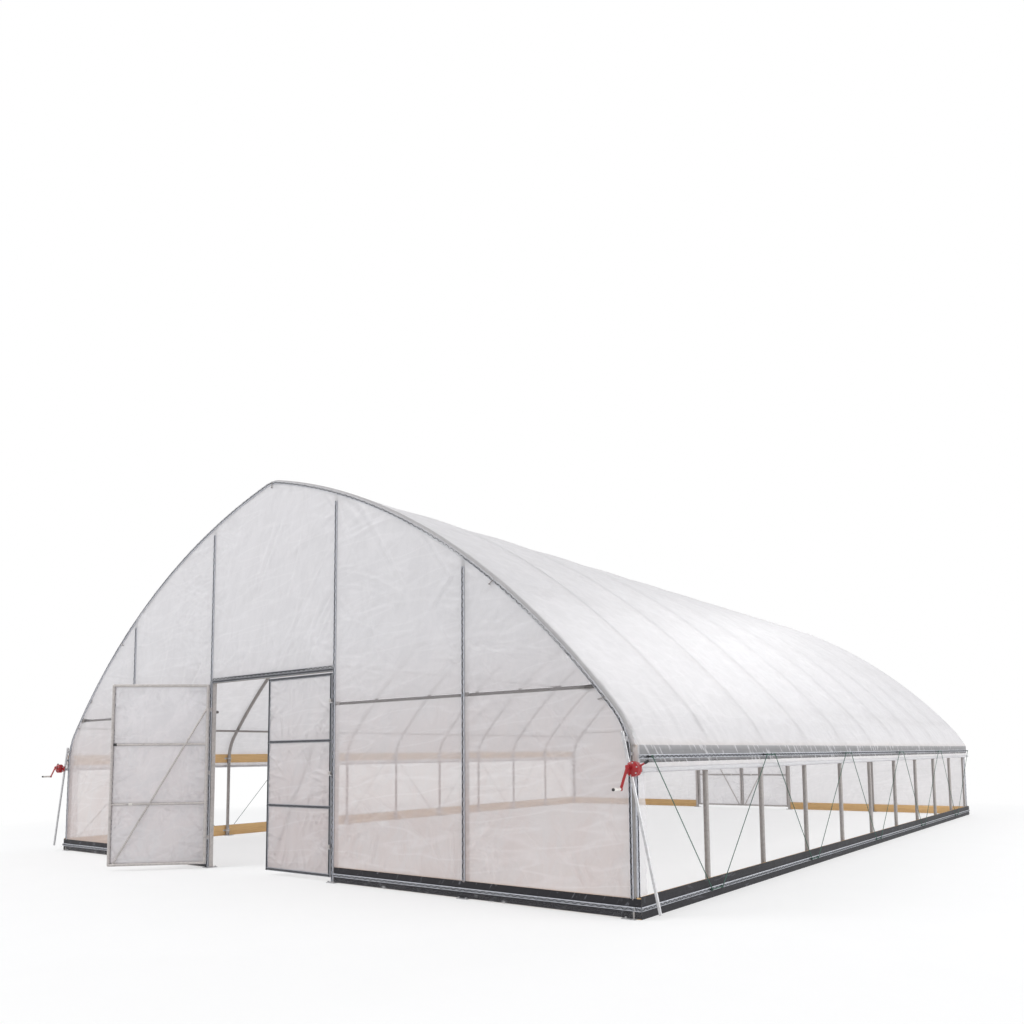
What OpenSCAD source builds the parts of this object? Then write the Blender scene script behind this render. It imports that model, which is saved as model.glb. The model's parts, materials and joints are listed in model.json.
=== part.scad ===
// Polytunnel greenhouse: steel hoops under a clear film, double doors in both ends, open sides with
// roll-up film and lacing ropes. X runs across the tunnel, Y along it with the front at -Y, Z up.
// The origin is on the ground, at the middle of everything that the tunnel and its open door cover.

/* [Tunnel] */
// Width over the hoop legs
span_w = 9144; // [7800:1:11000]
// Distance from one hoop to the next
bay_l = 1219; // [1000:1:1500]
// Number of bays
bays = 10; // [4:1:12]

/* [Hoops] */
// Outside diameter of the hoop tube
hoop_d = 48; // [40:1:60]
// Height of the straight part of a hoop leg
leg_h = 1200; // [1000:1:1450]
// Radius of the eave bend, on the tube's centre line
bend_r = 600; // [450:1:750]
// Slope of the roof at the top of the eave bend, in degrees
eave_pitch = 50; // [46:1:54]
// Slope of the roof where the ridge bend begins, in degrees
ridge_pitch = 13.5; // [8:0.5:18]
// Radius of the ridge bend, on the tube's centre line
ridge_r = 400; // [250:1:600]
// Outside diameter of a purlin
purlin_d = 32; // [25:1:42]
// Slope of the roof at the middle purlins, in degrees
mid_purlin_pitch = 38; // [30:1:42]
// Slope of the roof at the eave purlins, just above the bend, in degrees
eave_purlin_pitch = 49; // [44:1:50]

/* [End walls] */
// Side of the square tube of jambs, posts and header
post_d = 48; // [40:1:60]
// Distance of a door jamb's centre from the middle
jamb_x = 1090; // [900:1:1250]
// Distance of an outer post's centre from the middle
outer_post_x = 2835; // [2400:1:3200]
// Underside of the door header
header_z = 2100; // [1950:1:2300]
// Height of the door header
header_h = 60; // [50:1:80]
// Height of the cross rails
rail_z = 1770; // [1650:1:1850]
// Outside diameter of a cross rail
rail_d = 32; // [25:1:40]

/* [Doors] */
// Angle that the front left leaf stands open, in degrees
door_open = 136; // [95:1:165]
// Outside diameter of a leaf's frame tube
stile_d = 32; // [25:1:40]
// Outside diameter of a leaf's two middle rails
mid_rail_d = 25; // [19:1:30]
// Outside diameter of a leaf's brace
brace_d = 20; // [15:1:25]
// Height of a leaf above the ground
leaf_low = 50; // [40:1:80]
// Gap between a leaf and the header
leaf_top_gap = 15; // [8:1:30]
// Gap between the two leaves
meet_gap = 12; // [10:1:20]
// Height of the brace's upper end below the top of the leaf
brace_drop = 245; // [150:1:400]

/* [Hinges] */
// Radius of a hinge pin
pin_r = 6; // [5:0.5:8]
// Outside radius of a hinge eye
eye_r = 12; // [10:0.5:16]
// Height of a hinge eye
eye_h = 30; // [20:1:40]

/* [Timber] */
// Thickness of the boards
board_t = 38; // [30:1:50]
// Height of the side baseboards
base_board_h = 160; // [120:1:220]
// Height of the end baseboards and of the dark skirts
skirt_h = 152; // [110:1:200]
// Height of the hip boards
hip_board_h = 135; // [115:1:160]
// Distance of the hip board's lower edge below the top of the straight leg
hip_drop = 35; // [20:1:60]

/* [Film and channels] */
// Thickness of the stand-in for the film
film_t = 3; // [2:0.5:5]
// Thickness of the dark skirts and hip bands
band_t = 3; // [2:0.5:5]
// Width of a wire-lock channel
lock_w = 32; // [24:1:40]
// Depth of a wire-lock channel
lock_t = 10; // [6:1:12]
// Depth of the channel on a door leaf
leaf_lock_t = 7; // [5:1:9]
// Width of the loose film strip behind each corner
flap_w = 150; // [100:1:200]
// Radius of the rolled-up side film
roll_r = 22; // [18:1:30]
// Distance of the roll's centre below the hip board
roll_drop = 57; // [45:1:90]

/* [Foot plates] */
// Side of a foot plate
plate_w = 120; // [100:1:160]
// Thickness of a foot plate
plate_t = 6; // [4:1:10]
// Radius of an anchor hole
anchor_r = 7; // [5:0.5:9]
// Distance between the anchor holes of a post's plate
anchor_pitch = 86; // [80:1:100]
// Distance between the anchor holes of a hoop leg's plate
leg_anchor_pitch = 70; // [50:1:80]

/* [Ropes] */
// Diameter of the lacing rope
rope_d = 8; // [6:1:10]
// Half the distance between the two hooks of a pair
hook_half = 100; // [70:1:140]
// Radius of a rope hook
hook_r = 8; // [6:1:10]

/* [Cranks] */
// Outside diameter of the guide pole
pole_d = 25; // [20:1:30]
// Distance of the pole in front of the end hoop
pole_out = 70; // [65:1:90]
// Distance of the pole's foot outside the hoop leg's centre
pole_lean = 252; // [200:1:300]
// Height of the pole's foot
pole_low = 60; // [30:1:100]
// Length of the crank arm, from shaft to grip
crank_l = 175; // [140:1:200]
// Radius of the crank housing
housing_r = 58; // [50:1:65]
// Angle of the left crank arm outwards from hanging, in degrees
left_crank = 45; // [0:1:359]
// Angle of the right crank arm outwards from hanging, in degrees
right_crank = -20; // [-180:1:180]

/* [Hidden] */
$fn = 48;

// The hoop's centre line is a straight leg, a tight eave bend, a long rafter arc and a small ridge
// bend. A place on an arc is given by the slope of the roof there: 90 at the leg and 0 at the ridge.
half_c = span_w / 2 - hoop_d / 2;
bend_c = [half_c - bend_r, leg_h];
bend_end = bend_c + bend_r * [sin(eave_pitch), cos(eave_pitch)];
rafter_r = (bend_end[0] - ridge_r * sin(ridge_pitch)) / (sin(eave_pitch) - sin(ridge_pitch));
rafter_c = bend_end - rafter_r * [sin(eave_pitch), cos(eave_pitch)];
ridge_c = [0, (rafter_c + (rafter_r - ridge_r) * [sin(ridge_pitch), cos(ridge_pitch)])[1]];
arc_step = 1;
fit_gap = 0.3;

// Planes of an end wall, as distances outwards from the end hoop's centre plane. Posts, header and
// baseboards stand flush with the hoop's outer face, and post_back is how far in the posts reach.
face_out = hoop_d / 2;
post_back = post_d - face_out;
film_out = face_out + film_t;
lock_out = film_out + lock_t;
band_out = film_out + band_t;

// Planes of a side wall, as distances from the middle
leg_x = span_w / 2;
board_x = leg_x + board_t;
band_x = board_x + band_t;
lap_x = band_x + film_t;

// Heights on a side wall
hip_z = leg_h - hip_drop;
hip_top = hip_z + hip_board_h;
hip_lock_z = hip_z + hip_board_h / 3;
base_lock_z = skirt_h / 2;
roll_z = hip_z - roll_drop;
roll_x = band_x + roll_r;

// A leaf is drawn closed, about its hinge pin: x towards the meeting line, y into the tunnel
pin_gap = 5;
hinge_x = jamb_x - post_d / 2 - pin_gap;
hinge_out = lock_out + eye_r + 3;
leaf_near = 4;
leaf_far = hinge_x - meet_gap / 2;
leaf_high = header_z - leaf_top_gap;
leaf_film_y = hinge_out - film_out;
leaf_back = leaf_film_y + film_t + stile_d;
hinge_zs = [350, 1075, 1800];

// Guide pole and crank
pole_foot = [half_c + pole_lean, pole_low];
pole_top = [half_c - 45, leg_h + 200];
housing_out = pole_out + pole_d / 2;
housing_l = 67;
shaft_r = 8;
shaft_at = [roll_x - 28, roll_z + 28];
arm_out = housing_out + housing_l + 22;
arm_t = 12;
grip_l = 110;

// The tunnel's middle is set back by half of what the open leaf reaches further than the back wall
tunnel_l = bays * bay_l;
front_reach = hinge_out + leaf_far * sin(door_open) - leaf_back * cos(door_open);
back_reach = hinge_out + eye_r;
front_y = (front_reach - back_reach - tunnel_l) / 2;
back_y = front_y + tunnel_l;

// Colours
steel = [0.62, 0.61, 0.61];
zinc = [0.72, 0.73, 0.75];
clear = [0.90, 0.90, 0.91];
pine = [0.85, 0.66, 0.40];
dark = [0.20, 0.19, 0.22];
red = [0.72, 0.13, 0.17];
green = [0.22, 0.40, 0.33];

function hoop_y(i) = front_y + i * bay_l;

// Point on the rafter arc at a slope, off the centre line by off
function rafter_at(slope, off) = rafter_c + (rafter_r + off) * [sin(slope), cos(slope)];

function arc_points(c, r, from, to) =
    let (n = ceil((from - to) / arc_step))
    [for (i = [0:n]) let (s = from + (to - from) * i / n) c + r * [sin(s), cos(s)]];

// Right half of the arch off its centre line by off, from the slope low up to the ridge
function arch_curve(off, low) = concat(
    arc_points(bend_c, bend_r + off, low, eave_pitch),
    arc_points(rafter_c, rafter_r + off, eave_pitch, ridge_pitch),
    arc_points(ridge_c, ridge_r + off, ridge_pitch, 0));

// The same from height z of the straight leg
function leg_and_curve(off, z) = concat([[half_c + off, z]], arch_curve(off, 90));

function backwards(points) = [for (i = [len(points) - 1:-1:0]) points[i]];
function flipped(points) = [for (p = backwards(points)) [-p[0], p[1]]];
function whole(right) = concat(right, flipped(right));

module both_sides() {
    children();
    mirror([1, 0, 0]) children();
}

// Children are drawn for the front end, with y = 0 in the end hoop's centre plane
module both_ends() {
    translate([0, front_y, 0]) children();
    translate([0, back_y, 0]) mirror([0, 1, 0]) children();
}

// Children stand up from the plan into the plane of a hoop
module upright() {
    rotate([90, 0, 0]) children();
}

module arch_area(off) {
    polygon(whole(leg_and_curve(off, 0)));
}

// Strip over the whole arch from y0 to y1, between the right halves of its two outlines
module arch_strip(outer, inner, y0, y1) {
    translate([0, y1, 0]) upright() linear_extrude(y1 - y0)
        polygon(concat(whole(outer), backwards(whole(inner))));
}

module arc_tube(c, r, from, to, d) {
    translate([c[0], 0, c[1]]) upright() rotate([0, 0, 90 - from])
        rotate_extrude(angle = from - to) translate([r, 0]) circle(d = d);
}

module bar_y(x, z, d, y0, y1) {
    translate([x, y0, z]) rotate([-90, 0, 0]) cylinder(d = d, h = y1 - y0);
}

module bar_x(x0, x1, y, z, d) {
    translate([x0, y, z]) rotate([0, 90, 0]) cylinder(d = d, h = x1 - x0);
}

// Round bar from point a to point b, short of both by gap
module bar(a, b, d, gap = 0) {
    v = b - a;
    l = norm(v);
    translate(a + v * gap / l) rotate([0, acos(v[2] / l), atan2(v[1], v[0])])
        cylinder(d = d, h = l - 2 * gap);
}

module box(low, high) {
    translate(low) cube(high - low);
}

// ---- Frame ----

module hoop_legs() {
    color(steel) for (i = [0:bays]) both_sides()
        translate([half_c, hoop_y(i), plate_t]) cylinder(d = hoop_d, h = leg_h - plate_t);
}

module eave_bends() {
    color(steel) for (i = [0:bays]) both_sides() translate([0, hoop_y(i), 0])
        arc_tube(bend_c, bend_r, 90, eave_pitch, hoop_d);
}

module rafters_right() {
    color(steel) for (i = [0:bays]) translate([0, hoop_y(i), 0])
        arc_tube(rafter_c, rafter_r, eave_pitch, ridge_pitch, hoop_d);
}

module rafters_left() {
    mirror([1, 0, 0]) rafters_right();
}

module ridge_bends() {
    color(steel) for (i = [0:bays]) translate([0, hoop_y(i), 0])
        arc_tube(ridge_c, ridge_r, ridge_pitch, -ridge_pitch, hoop_d);
}

module purlin(at) {
    bar_y(at[0], at[1], purlin_d, front_y, back_y);
}

module ridge_purlin() {
    color(zinc) purlin([0, ridge_c[1] + ridge_r - hoop_d / 2 - purlin_d / 2]);
}

module side_purlins() {
    color(zinc) both_sides() for (slope = [mid_purlin_pitch, eave_purlin_pitch])
        purlin(rafter_at(slope, -(hoop_d + purlin_d) / 2));
}

module anchor_hole(x, y) {
    translate([x, y, -1]) cylinder(r = anchor_r, h = plate_t + 2);
}

// Plate of a hoop leg, kept inside the baseboard's inner face
module leg_foot_plates() {
    color(zinc) for (i = [0:bays]) both_sides() translate([leg_x - plate_w, hoop_y(i), 0])
        difference() {
            box([0, -plate_w / 2, 0], [plate_w, plate_w / 2, plate_t]);
            for (y = [-1, 1]) anchor_hole(plate_w / 4, y * leg_anchor_pitch / 2);
        }
}

module post_foot_plates() {
    y = (post_back - face_out) / 2;
    color(zinc) both_ends() both_sides() for (x = [jamb_x, outer_post_x]) translate([x, y, 0])
        difference() {
            box([-plate_w / 2, -plate_w / 2, 0], [plate_w / 2, plate_w / 2, plate_t]);
            for (sx = [-1, 1], sy = [-1, 1]) anchor_hole(sx * anchor_pitch / 2, sy * anchor_pitch / 2);
        }
}

// ---- End walls ----

// Square post from its foot plate to the underside of the end hoop
module post(x) {
    intersection() {
        box([x - post_d / 2, -face_out, plate_t], [x + post_d / 2, post_back, 2 * span_w]);
        translate([0, post_d, 0]) upright() linear_extrude(2 * post_d) arch_area(-hoop_d / 2);
    }
}

module jamb_posts() {
    color(steel) both_ends() both_sides() post(jamb_x);
}

module outer_posts() {
    color(steel) both_ends() both_sides() post(outer_post_x);
}

module door_headers() {
    inner = jamb_x - post_d / 2;
    color(steel) both_ends()
        box([-inner, -face_out, header_z], [inner, post_back, header_z + header_h]);
}

// Rail behind the posts, with a round clamp between its end and the back of the end hoop
module cross_rails() {
    slope = acos((rail_z - rafter_c[1]) / rafter_r);
    clamp_x = rafter_at(slope, 0)[0];
    rail_y = post_back + rail_d / 2;
    color(steel) both_ends() both_sides() {
        bar_x(jamb_x - post_d / 2, clamp_x - hoop_d / 2 - fit_gap, rail_y, rail_z, rail_d);
        bar_y(clamp_x, rail_z, hoop_d, hoop_d / 2, post_back + rail_d);
    }
}

module film_panel(x0, x1, z0) {
    intersection() {
        box([x0, -film_out, z0], [x1, -face_out, 2 * span_w]);
        upright() linear_extrude(2 * film_out) arch_area(hoop_d / 2);
    }
}

// The sheet is split behind the channel on each jamb, beside and over the doorway
module end_film() {
    both_sides() film_panel(jamb_x + 1, leg_x, plate_t);
    film_panel(1 - jamb_x, jamb_x - 1, header_z);
}

module front_film() {
    color(clear) translate([0, front_y, 0]) end_film();
}

module back_film() {
    color(clear) translate([0, back_y, 0]) mirror([0, 1, 0]) end_film();
}

module end_baseboards() {
    bays_x = [[jamb_x, outer_post_x - post_d / 2], [outer_post_x, half_c - hoop_d / 2]];
    color(pine) both_ends() both_sides() for (b = bays_x)
        box([b[0] + post_d / 2, -face_out, plate_t], [b[1], board_t - face_out, skirt_h]);
}

module end_skirts() {
    color(dark) both_ends() both_sides()
        box([jamb_x + post_d / 2, -band_out, plate_t], [band_x, -film_out, skirt_h]);
}

// ---- Roof and sides ----

// Right half of one face of the roof film: up the hip board at x, in at height z and over the hoops
function roof_face(off, x, z) =
    concat([[x, hip_z], [x, z]], arch_curve(off, acos((z - leg_h) / (bend_r + off))));

// One sheet over the hoops and down over both hip boards
module roof_film() {
    off = hoop_d / 2 + 2 * fit_gap;
    color(clear) arch_strip(roof_face(off + film_t, lap_x, hip_top + film_t),
        roof_face(off, band_x, hip_top), front_y - film_out, back_y + film_out);
}

module side_board(x, t, z0, z1) {
    box([x, front_y - face_out, z0], [x + t, back_y + face_out, z1]);
}

module side_baseboards() {
    color(pine) both_sides() side_board(leg_x, board_t, 0, base_board_h);
}

module hip_boards() {
    color(pine) both_sides() side_board(leg_x, board_t, hip_z, hip_top);
}

module side_skirts() {
    color(dark) both_sides() side_board(board_x, band_t, 0, skirt_h);
}

module hip_bands() {
    color(dark) both_sides() side_board(board_x, band_t, hip_z, hip_top);
}

module corner_flaps() {
    color(clear) both_ends() both_sides()
        box([leg_x, -face_out, base_board_h], [leg_x + film_t, flap_w - face_out, hip_z]);
}

// Roll of side film under the hip board, with its steel core standing out at both ends
module film_rolls() {
    y0 = front_y - face_out;
    y1 = back_y + face_out;
    color(clear) both_sides() {
        box([band_x, y0, roll_z], [lap_x, y1, hip_z]);
        bar_y(roll_x, roll_z, 2 * roll_r, y0, y1);
        bar_y(roll_x, roll_z, pole_d, front_y - housing_out, back_y + housing_out / 2);
    }
}

// ---- Wire-lock channels ----

module arch_channels() {
    w = lock_w / 2;
    color(zinc) both_ends()
        arch_strip(leg_and_curve(w, skirt_h), leg_and_curve(-w, skirt_h), -lock_out, -film_out);
}

// Height of the rafter's centre line over a distance from the middle
function rafter_z(x) = rafter_c[1] + sqrt(rafter_r * rafter_r - pow(x - rafter_c[0], 2));

module upright_channels() {
    w = lock_w / 2;
    stop = 90;
    color(zinc) both_ends() both_sides() {
        box([jamb_x - w, -lock_out, 2 * plate_t], [jamb_x + w, -film_out, rafter_z(jamb_x + w) - stop]);
        box([outer_post_x - w, -lock_out, skirt_h],
            [outer_post_x + w, -film_out, rafter_z(outer_post_x + w) - stop]);
        box([leg_x + film_t, -w, base_board_h], [leg_x + film_t + lock_t, w, hip_z]);
    }
}

module header_channels() {
    inner = jamb_x - lock_w / 2;
    h = header_h / 2 - 4;
    color(zinc) both_ends() for (z = [header_z + 2, header_z + header_h / 2 + 2])
        box([-inner, -lock_out, z], [inner, -film_out, z + h]);
}

module base_channels() {
    w = lock_w / 2;
    color(zinc) {
        both_ends() both_sides() box([jamb_x + post_d / 2, -band_out - lock_t, base_lock_z - w],
            [band_x, -band_out, base_lock_z + w]);
        both_sides() side_board(band_x, lock_t, base_lock_z - w, base_lock_z + w);
    }
}

module hip_channels() {
    w = lock_w / 2;
    color(zinc) both_sides() side_board(lap_x, lock_t, hip_lock_z - w, hip_lock_z + w);
}

// ---- Ropes ----

// On the right the even hoops carry a pair of hooks on the hip channel and the odd hoops a pair on
// the base channel, and on the left the other way round. The rope passes outside the roll of film.
hook_top = [roll_x + roll_r + rope_d / 2 + 5, hip_lock_z];
hook_foot = [band_x + lock_t + 15, base_lock_z];
function is_high(i, left) = (i % 2 == 0) != left;
function hook_at(i, left) = is_high(i, left) ? hook_top : hook_foot;
function hook_pos(i, side, left) =
    let (p = hook_at(i, left)) [p[0], hoop_y(i) + side * hook_half, p[1]];

module lacing(left) {
    gap = hook_r + fit_gap;
    for (i = [0:bays - 1]) bar(hook_pos(i, 1, left), hook_pos(i + 1, -1, left), rope_d, gap);
    for (i = [1:bays - 1]) bar(hook_pos(i, -1, left), hook_pos(i, 1, left), rope_d, gap);
}

module ropes_right() {
    color(green) lacing(false);
}

module ropes_left() {
    color(green) mirror([1, 0, 0]) lacing(true);
}

module hook_row(left) {
    for (i = [0:bays], side = [-1, 1])
        if (i + side * 0.5 > 0 && i + side * 0.5 < bays) {
            p = hook_pos(i, side, left);
            start = is_high(i, left) ? lap_x + lock_t : band_x + lock_t;
            bar_x(start, p[0] + rope_d / 2 + 2, p[1], p[2], 2 * hook_r);
        }
}

module rope_hooks() {
    color(dark) {
        hook_row(false);
        mirror([1, 0, 0]) hook_row(true);
    }
}

// ---- Doors ----

// Children are drawn as the front left leaf, closed, about its hinge pin
module at_leaf(back, right, open) {
    translate([0, back ? back_y : front_y, 0]) mirror([0, back ? 1 : 0, 0]) mirror([right ? 1 : 0, 0, 0])
        translate([-hinge_x, -hinge_out, 0]) rotate([0, 0, -open]) children();
}

module leaf_frame() {
    r = stile_d / 2;
    y = leaf_film_y + film_t + r;
    x0 = leaf_near + r;
    x1 = leaf_far - r;
    z0 = leaf_low + r;
    z1 = leaf_high - r;
    rail_y = leaf_film_y + film_t + mid_rail_d / 2;
    for (x = [x0, x1]) {
        bar([x, y, z0], [x, y, z1], stile_d);
        for (z = [z0, z1]) translate([x, y, z]) sphere(d = stile_d);
    }
    for (z = [z0, z1]) bar_x(x0, x1, y, z, stile_d);
    for (k = [1, 2]) bar_x(x0, x1, rail_y, z0 + (z1 - z0) * k / 3, mid_rail_d);
    bar([x0, y, z1 - brace_drop], [x1 - 40, y, z0], brace_d);
}

module hinge_eye() {
    difference() {
        union() {
            cylinder(r = eye_r, h = eye_h, center = true);
            box([0, 4, -eye_h / 2], [30, leaf_film_y - leaf_lock_t, eye_h / 2]);
        }
        cylinder(r = pin_r + fit_gap, h = eye_h + 2, center = true);
    }
}

module leaf_film() {
    y0 = leaf_film_y - leaf_lock_t;
    y1 = leaf_film_y;
    step = (leaf_high - leaf_low - stile_d) / 3;
    box([leaf_near, y1, leaf_low], [leaf_far, y1 + film_t, leaf_high]);
    for (x = [leaf_near, leaf_far - stile_d]) box([x, y0, leaf_low], [x + stile_d, y1, leaf_high]);
    for (k = [0:3]) box([leaf_near, y0, leaf_low + k * step], [leaf_far, y1, leaf_low + k * step + stile_d]);
}

module frame_of_leaf(back, right, open) {
    color(steel) at_leaf(back, right, open) {
        leaf_frame();
        for (z = hinge_zs) translate([0, 0, z]) hinge_eye();
    }
}

module film_of_leaf(back, right, open) {
    color(clear) at_leaf(back, right, open) leaf_film();
}

// Upright pin under each hinge eye, on a short arm from the jamb's channel
module hinge_pins() {
    under = eye_h / 2 + 1;
    arm_h = 9;
    color(zinc) for (back = [false, true], right = [false, true]) at_leaf(back, right, 0)
        for (z = hinge_zs) translate([0, 0, z]) {
            box([-30, -pin_r, -under - arm_h], [pin_r, hinge_out - lock_out, -under]);
            translate([0, 0, -under]) cylinder(r = pin_r, h = under + eye_h / 2 + 7);
        }
}

// ---- Cranks ----

// Pole that the crank housing slides on, clamped to the end hoop near its top
module guide_poles() {
    at = pole_foot + (pole_top - pole_foot) * 0.96;
    color(zinc) translate([0, front_y, 0]) both_sides() {
        bar([pole_foot[0], -pole_out, pole_foot[1]], [pole_top[0], -pole_out, pole_top[1]], pole_d);
        box([at[0] - 20, -pole_out, at[1] - 20], [at[0] + 20, -lock_out, at[1] + 20]);
    }
}

// Gear housing on the end of the roll's core, with a lug to the pole and a catch lever
module crank_housings() {
    z = roll_z + 12;
    y1 = -housing_out;
    y0 = y1 - housing_l;
    color(red) translate([0, front_y, 0]) both_sides() difference() {
        union() {
            bar_y(roll_x - 10, z, 2 * housing_r, y0, y1);
            box([half_c - 12, y1 - 14, z - 40], [roll_x, y1, z + 30]);
            bar_y(shaft_at[0], shaft_at[1], 36, y0 - 10, y0);
            bar([roll_x + 20, y1 - 30, z + 10], [roll_x + 105, y1 - 5, z + 62], 16);
        }
        bar_y(shaft_at[0], shaft_at[1], 2 * (shaft_r + fit_gap), y0 - 11, y0 + 30);
    }
}

// Arm and grip, hanging at turn 0 and swung outwards by turn
module crank_handle(turn) {
    y0 = -arm_out;
    translate([shaft_at[0], front_y, shaft_at[1]]) rotate([0, -turn, 0]) {
        bar_y(0, 0, 2 * shaft_r, y0, -housing_out - housing_l + 25);
        bar_y(0, 0, 30, y0 - arm_t, y0);
        box([-11, y0 - arm_t, -crank_l], [11, y0, 0]);
        bar_y(0, -crank_l, 26, y0 - arm_t - grip_l, y0);
    }
}

module crank_right() {
    color(red) crank_handle(right_crank);
}

module crank_left() {
    color(red) mirror([1, 0, 0]) crank_handle(left_crank);
}

hoop_legs();
eave_bends();
rafters_left();
rafters_right();
ridge_bends();
ridge_purlin();
side_purlins();
leg_foot_plates();
post_foot_plates();
jamb_posts();
outer_posts();
door_headers();
cross_rails();
roof_film();
front_film();
back_film();
side_baseboards();
hip_boards();
end_baseboards();
side_skirts();
end_skirts();
hip_bands();
arch_channels();
upright_channels();
header_channels();
base_channels();
hip_channels();
corner_flaps();
film_rolls();
ropes_left();
ropes_right();
rope_hooks();
hinge_pins();
guide_poles();
crank_housings();
crank_left();
crank_right();
frame_of_leaf(false, false, door_open);  // front_left_leaf_frame
film_of_leaf(false, false, door_open);  // front_left_leaf_film
frame_of_leaf(false, true, 0);  // front_right_leaf_frame
film_of_leaf(false, true, 0);  // front_right_leaf_film
frame_of_leaf(true, false, 0);  // back_left_leaf_frame
film_of_leaf(true, false, 0);  // back_left_leaf_film
frame_of_leaf(true, true, 0);  // back_right_leaf_frame
film_of_leaf(true, true, 0);  // back_right_leaf_film
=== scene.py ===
"""Looks of a polytunnel greenhouse, built round its fixed frame. Metres, front at -Y, Z up."""

import json
import math

import bmesh
import bpy
import numpy as np
from mathutils import Matrix, Vector


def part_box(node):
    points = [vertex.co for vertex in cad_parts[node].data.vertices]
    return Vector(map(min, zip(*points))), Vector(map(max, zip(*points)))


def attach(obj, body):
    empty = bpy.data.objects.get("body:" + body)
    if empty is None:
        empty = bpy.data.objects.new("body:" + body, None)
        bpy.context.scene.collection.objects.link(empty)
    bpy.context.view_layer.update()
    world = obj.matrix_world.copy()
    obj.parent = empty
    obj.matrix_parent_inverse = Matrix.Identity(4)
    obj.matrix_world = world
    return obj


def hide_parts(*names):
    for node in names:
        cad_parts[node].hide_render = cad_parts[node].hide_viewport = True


bl_info = {
    "name": "Polytunnel looks",
    "version": (1, 0, 0),
    "blender": (4, 5, 0),
    "location": "View3D > Sidebar > Polytunnel",
    "description": "Film, channels, doors, cranks and finishes of a polytunnel greenhouse",
    "category": "Object",
}

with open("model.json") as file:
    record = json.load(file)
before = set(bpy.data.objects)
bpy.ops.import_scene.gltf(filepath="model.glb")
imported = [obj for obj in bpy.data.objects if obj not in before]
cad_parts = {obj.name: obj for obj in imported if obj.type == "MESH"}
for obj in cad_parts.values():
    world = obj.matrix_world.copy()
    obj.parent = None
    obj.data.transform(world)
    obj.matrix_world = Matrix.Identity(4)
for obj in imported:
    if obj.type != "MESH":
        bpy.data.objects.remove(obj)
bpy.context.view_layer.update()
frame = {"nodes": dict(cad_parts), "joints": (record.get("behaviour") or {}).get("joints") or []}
NODES = frame["nodes"]
JOINTS = {j["name"]: j for j in frame["joints"]}

# ---- Directions, places read from the frame, and sizes that it repeats ----

UP = (0, 0, 1)
FORWARD = (0, -1, 0)
SIDES = (-1, 1)

TUBE = 0.048
BEND_R = 0.6
RIDGE_R = 0.4
EAVE_PITCH = math.radians(50)
RIDGE_PITCH = math.radians(13.5)
PURLIN_PITCHES = (38, 49)
BAYS = 10
BOARD_T = 0.038
POST_D = 0.048
RAIL_R = 0.016
PLATE_T = 0.006
SKIN = 0.003

LEG_LOW, LEG_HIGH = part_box("hoop_legs")
HALF = LEG_HIGH.x - TUBE / 2
FRONT = LEG_LOW.y + TUBE / 2
BACK = LEG_HIGH.y - TUBE / 2
ENDS = ((FRONT, -1), (BACK, 1))
FACE_FRONT = FRONT - TUBE / 2
FACE_BACK = BACK + TUBE / 2
BAY = (BACK - FRONT) / BAYS
HOOPS = [FRONT + i * BAY for i in range(BAYS + 1)]
LEG_TOP = LEG_HIGH.z
LEG_X = LEG_HIGH.x
JAMB_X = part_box("jamb_posts")[1].x - POST_D / 2
POST_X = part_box("outer_posts")[1].x - POST_D / 2
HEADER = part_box("door_headers")
RAIL_Z = (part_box("cross_rails")[0].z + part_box("cross_rails")[1].z) / 2
BOARD_X = LEG_X + BOARD_T
BAND_X = BOARD_X + SKIN
LAP_X = BAND_X + SKIN
HIP_Z, HIP_TOP = (c.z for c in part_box("hip_boards"))
BASE_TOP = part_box("side_baseboards")[1].z
SKIRT_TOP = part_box("side_skirts")[1].z
FILM_OUT = TUBE / 2 + SKIN
LOCK_W = 0.032
LOCK_T = 0.010
ARCH_LOCK_W = 0.026
ARCH_LOCK_IN = 0.010
HIP_LOCK_Z = sum(c.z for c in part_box("hip_channels")) / 2
BASE_LOCK_Z = SKIRT_TOP / 2
ROLL_R = 0.022
ROLL_X = BAND_X + ROLL_R
ROLL_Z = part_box("film_rolls")[0].z + ROLL_R
HOOK_R = 0.0085
DRUM_Y = FRONT - 0.0825
DRUM_LONG = 0.067

LEAF_NEAR = 0.004
LEAF_R = 0.016
LEAF_LOW = 0.05
LEAF_HIGH = HEADER[0].z - 0.015
LEAF_STEP = (LEAF_HIGH - LEAF_LOW - 2 * LEAF_R) / 3
LEAF_RAILS = [LEAF_LOW + k * LEAF_STEP + LEAF_R for k in range(4)]
LEAF_LOCK_T = 0.007

ROOF_OFF = TUBE / 2 + 0.0018
# How far the roof film's edge drops below the film and stands ahead of the hoop, step by step.
ROOF_EDGE = [
    (ROOF_OFF * (math.sin(a) - 1), ROOF_OFF * math.cos(a)) for a in np.linspace(math.pi / 2, 0.12, 7)[1:]
] + [(-0.0215, 0.0285), (-0.0222, 0.0385), (-0.0262, 0.0392), (-0.0310, 0.0315), (-0.0380, 0.0312)]

BEND_C = np.array([HALF - BEND_R, LEG_TOP])


def on_circle(centre, radius, slope):
    """Points of an arc in the plane of a hoop, by the slope of the roof there."""
    slope = np.atleast_1d(slope)
    return centre + radius * np.stack([np.sin(slope), np.cos(slope)], -1)


BEND_END = on_circle(BEND_C, BEND_R, EAVE_PITCH)[0]
RAFTER_R = BEND_END[0] - RIDGE_R * math.sin(RIDGE_PITCH)
RAFTER_R /= math.sin(EAVE_PITCH) - math.sin(RIDGE_PITCH)
RAFTER_C = on_circle(BEND_END, -RAFTER_R, EAVE_PITCH)[0]
RIDGE_C = np.array([0.0, on_circle(RAFTER_C, RAFTER_R - RIDGE_R, RIDGE_PITCH)[0][1]])


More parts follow.
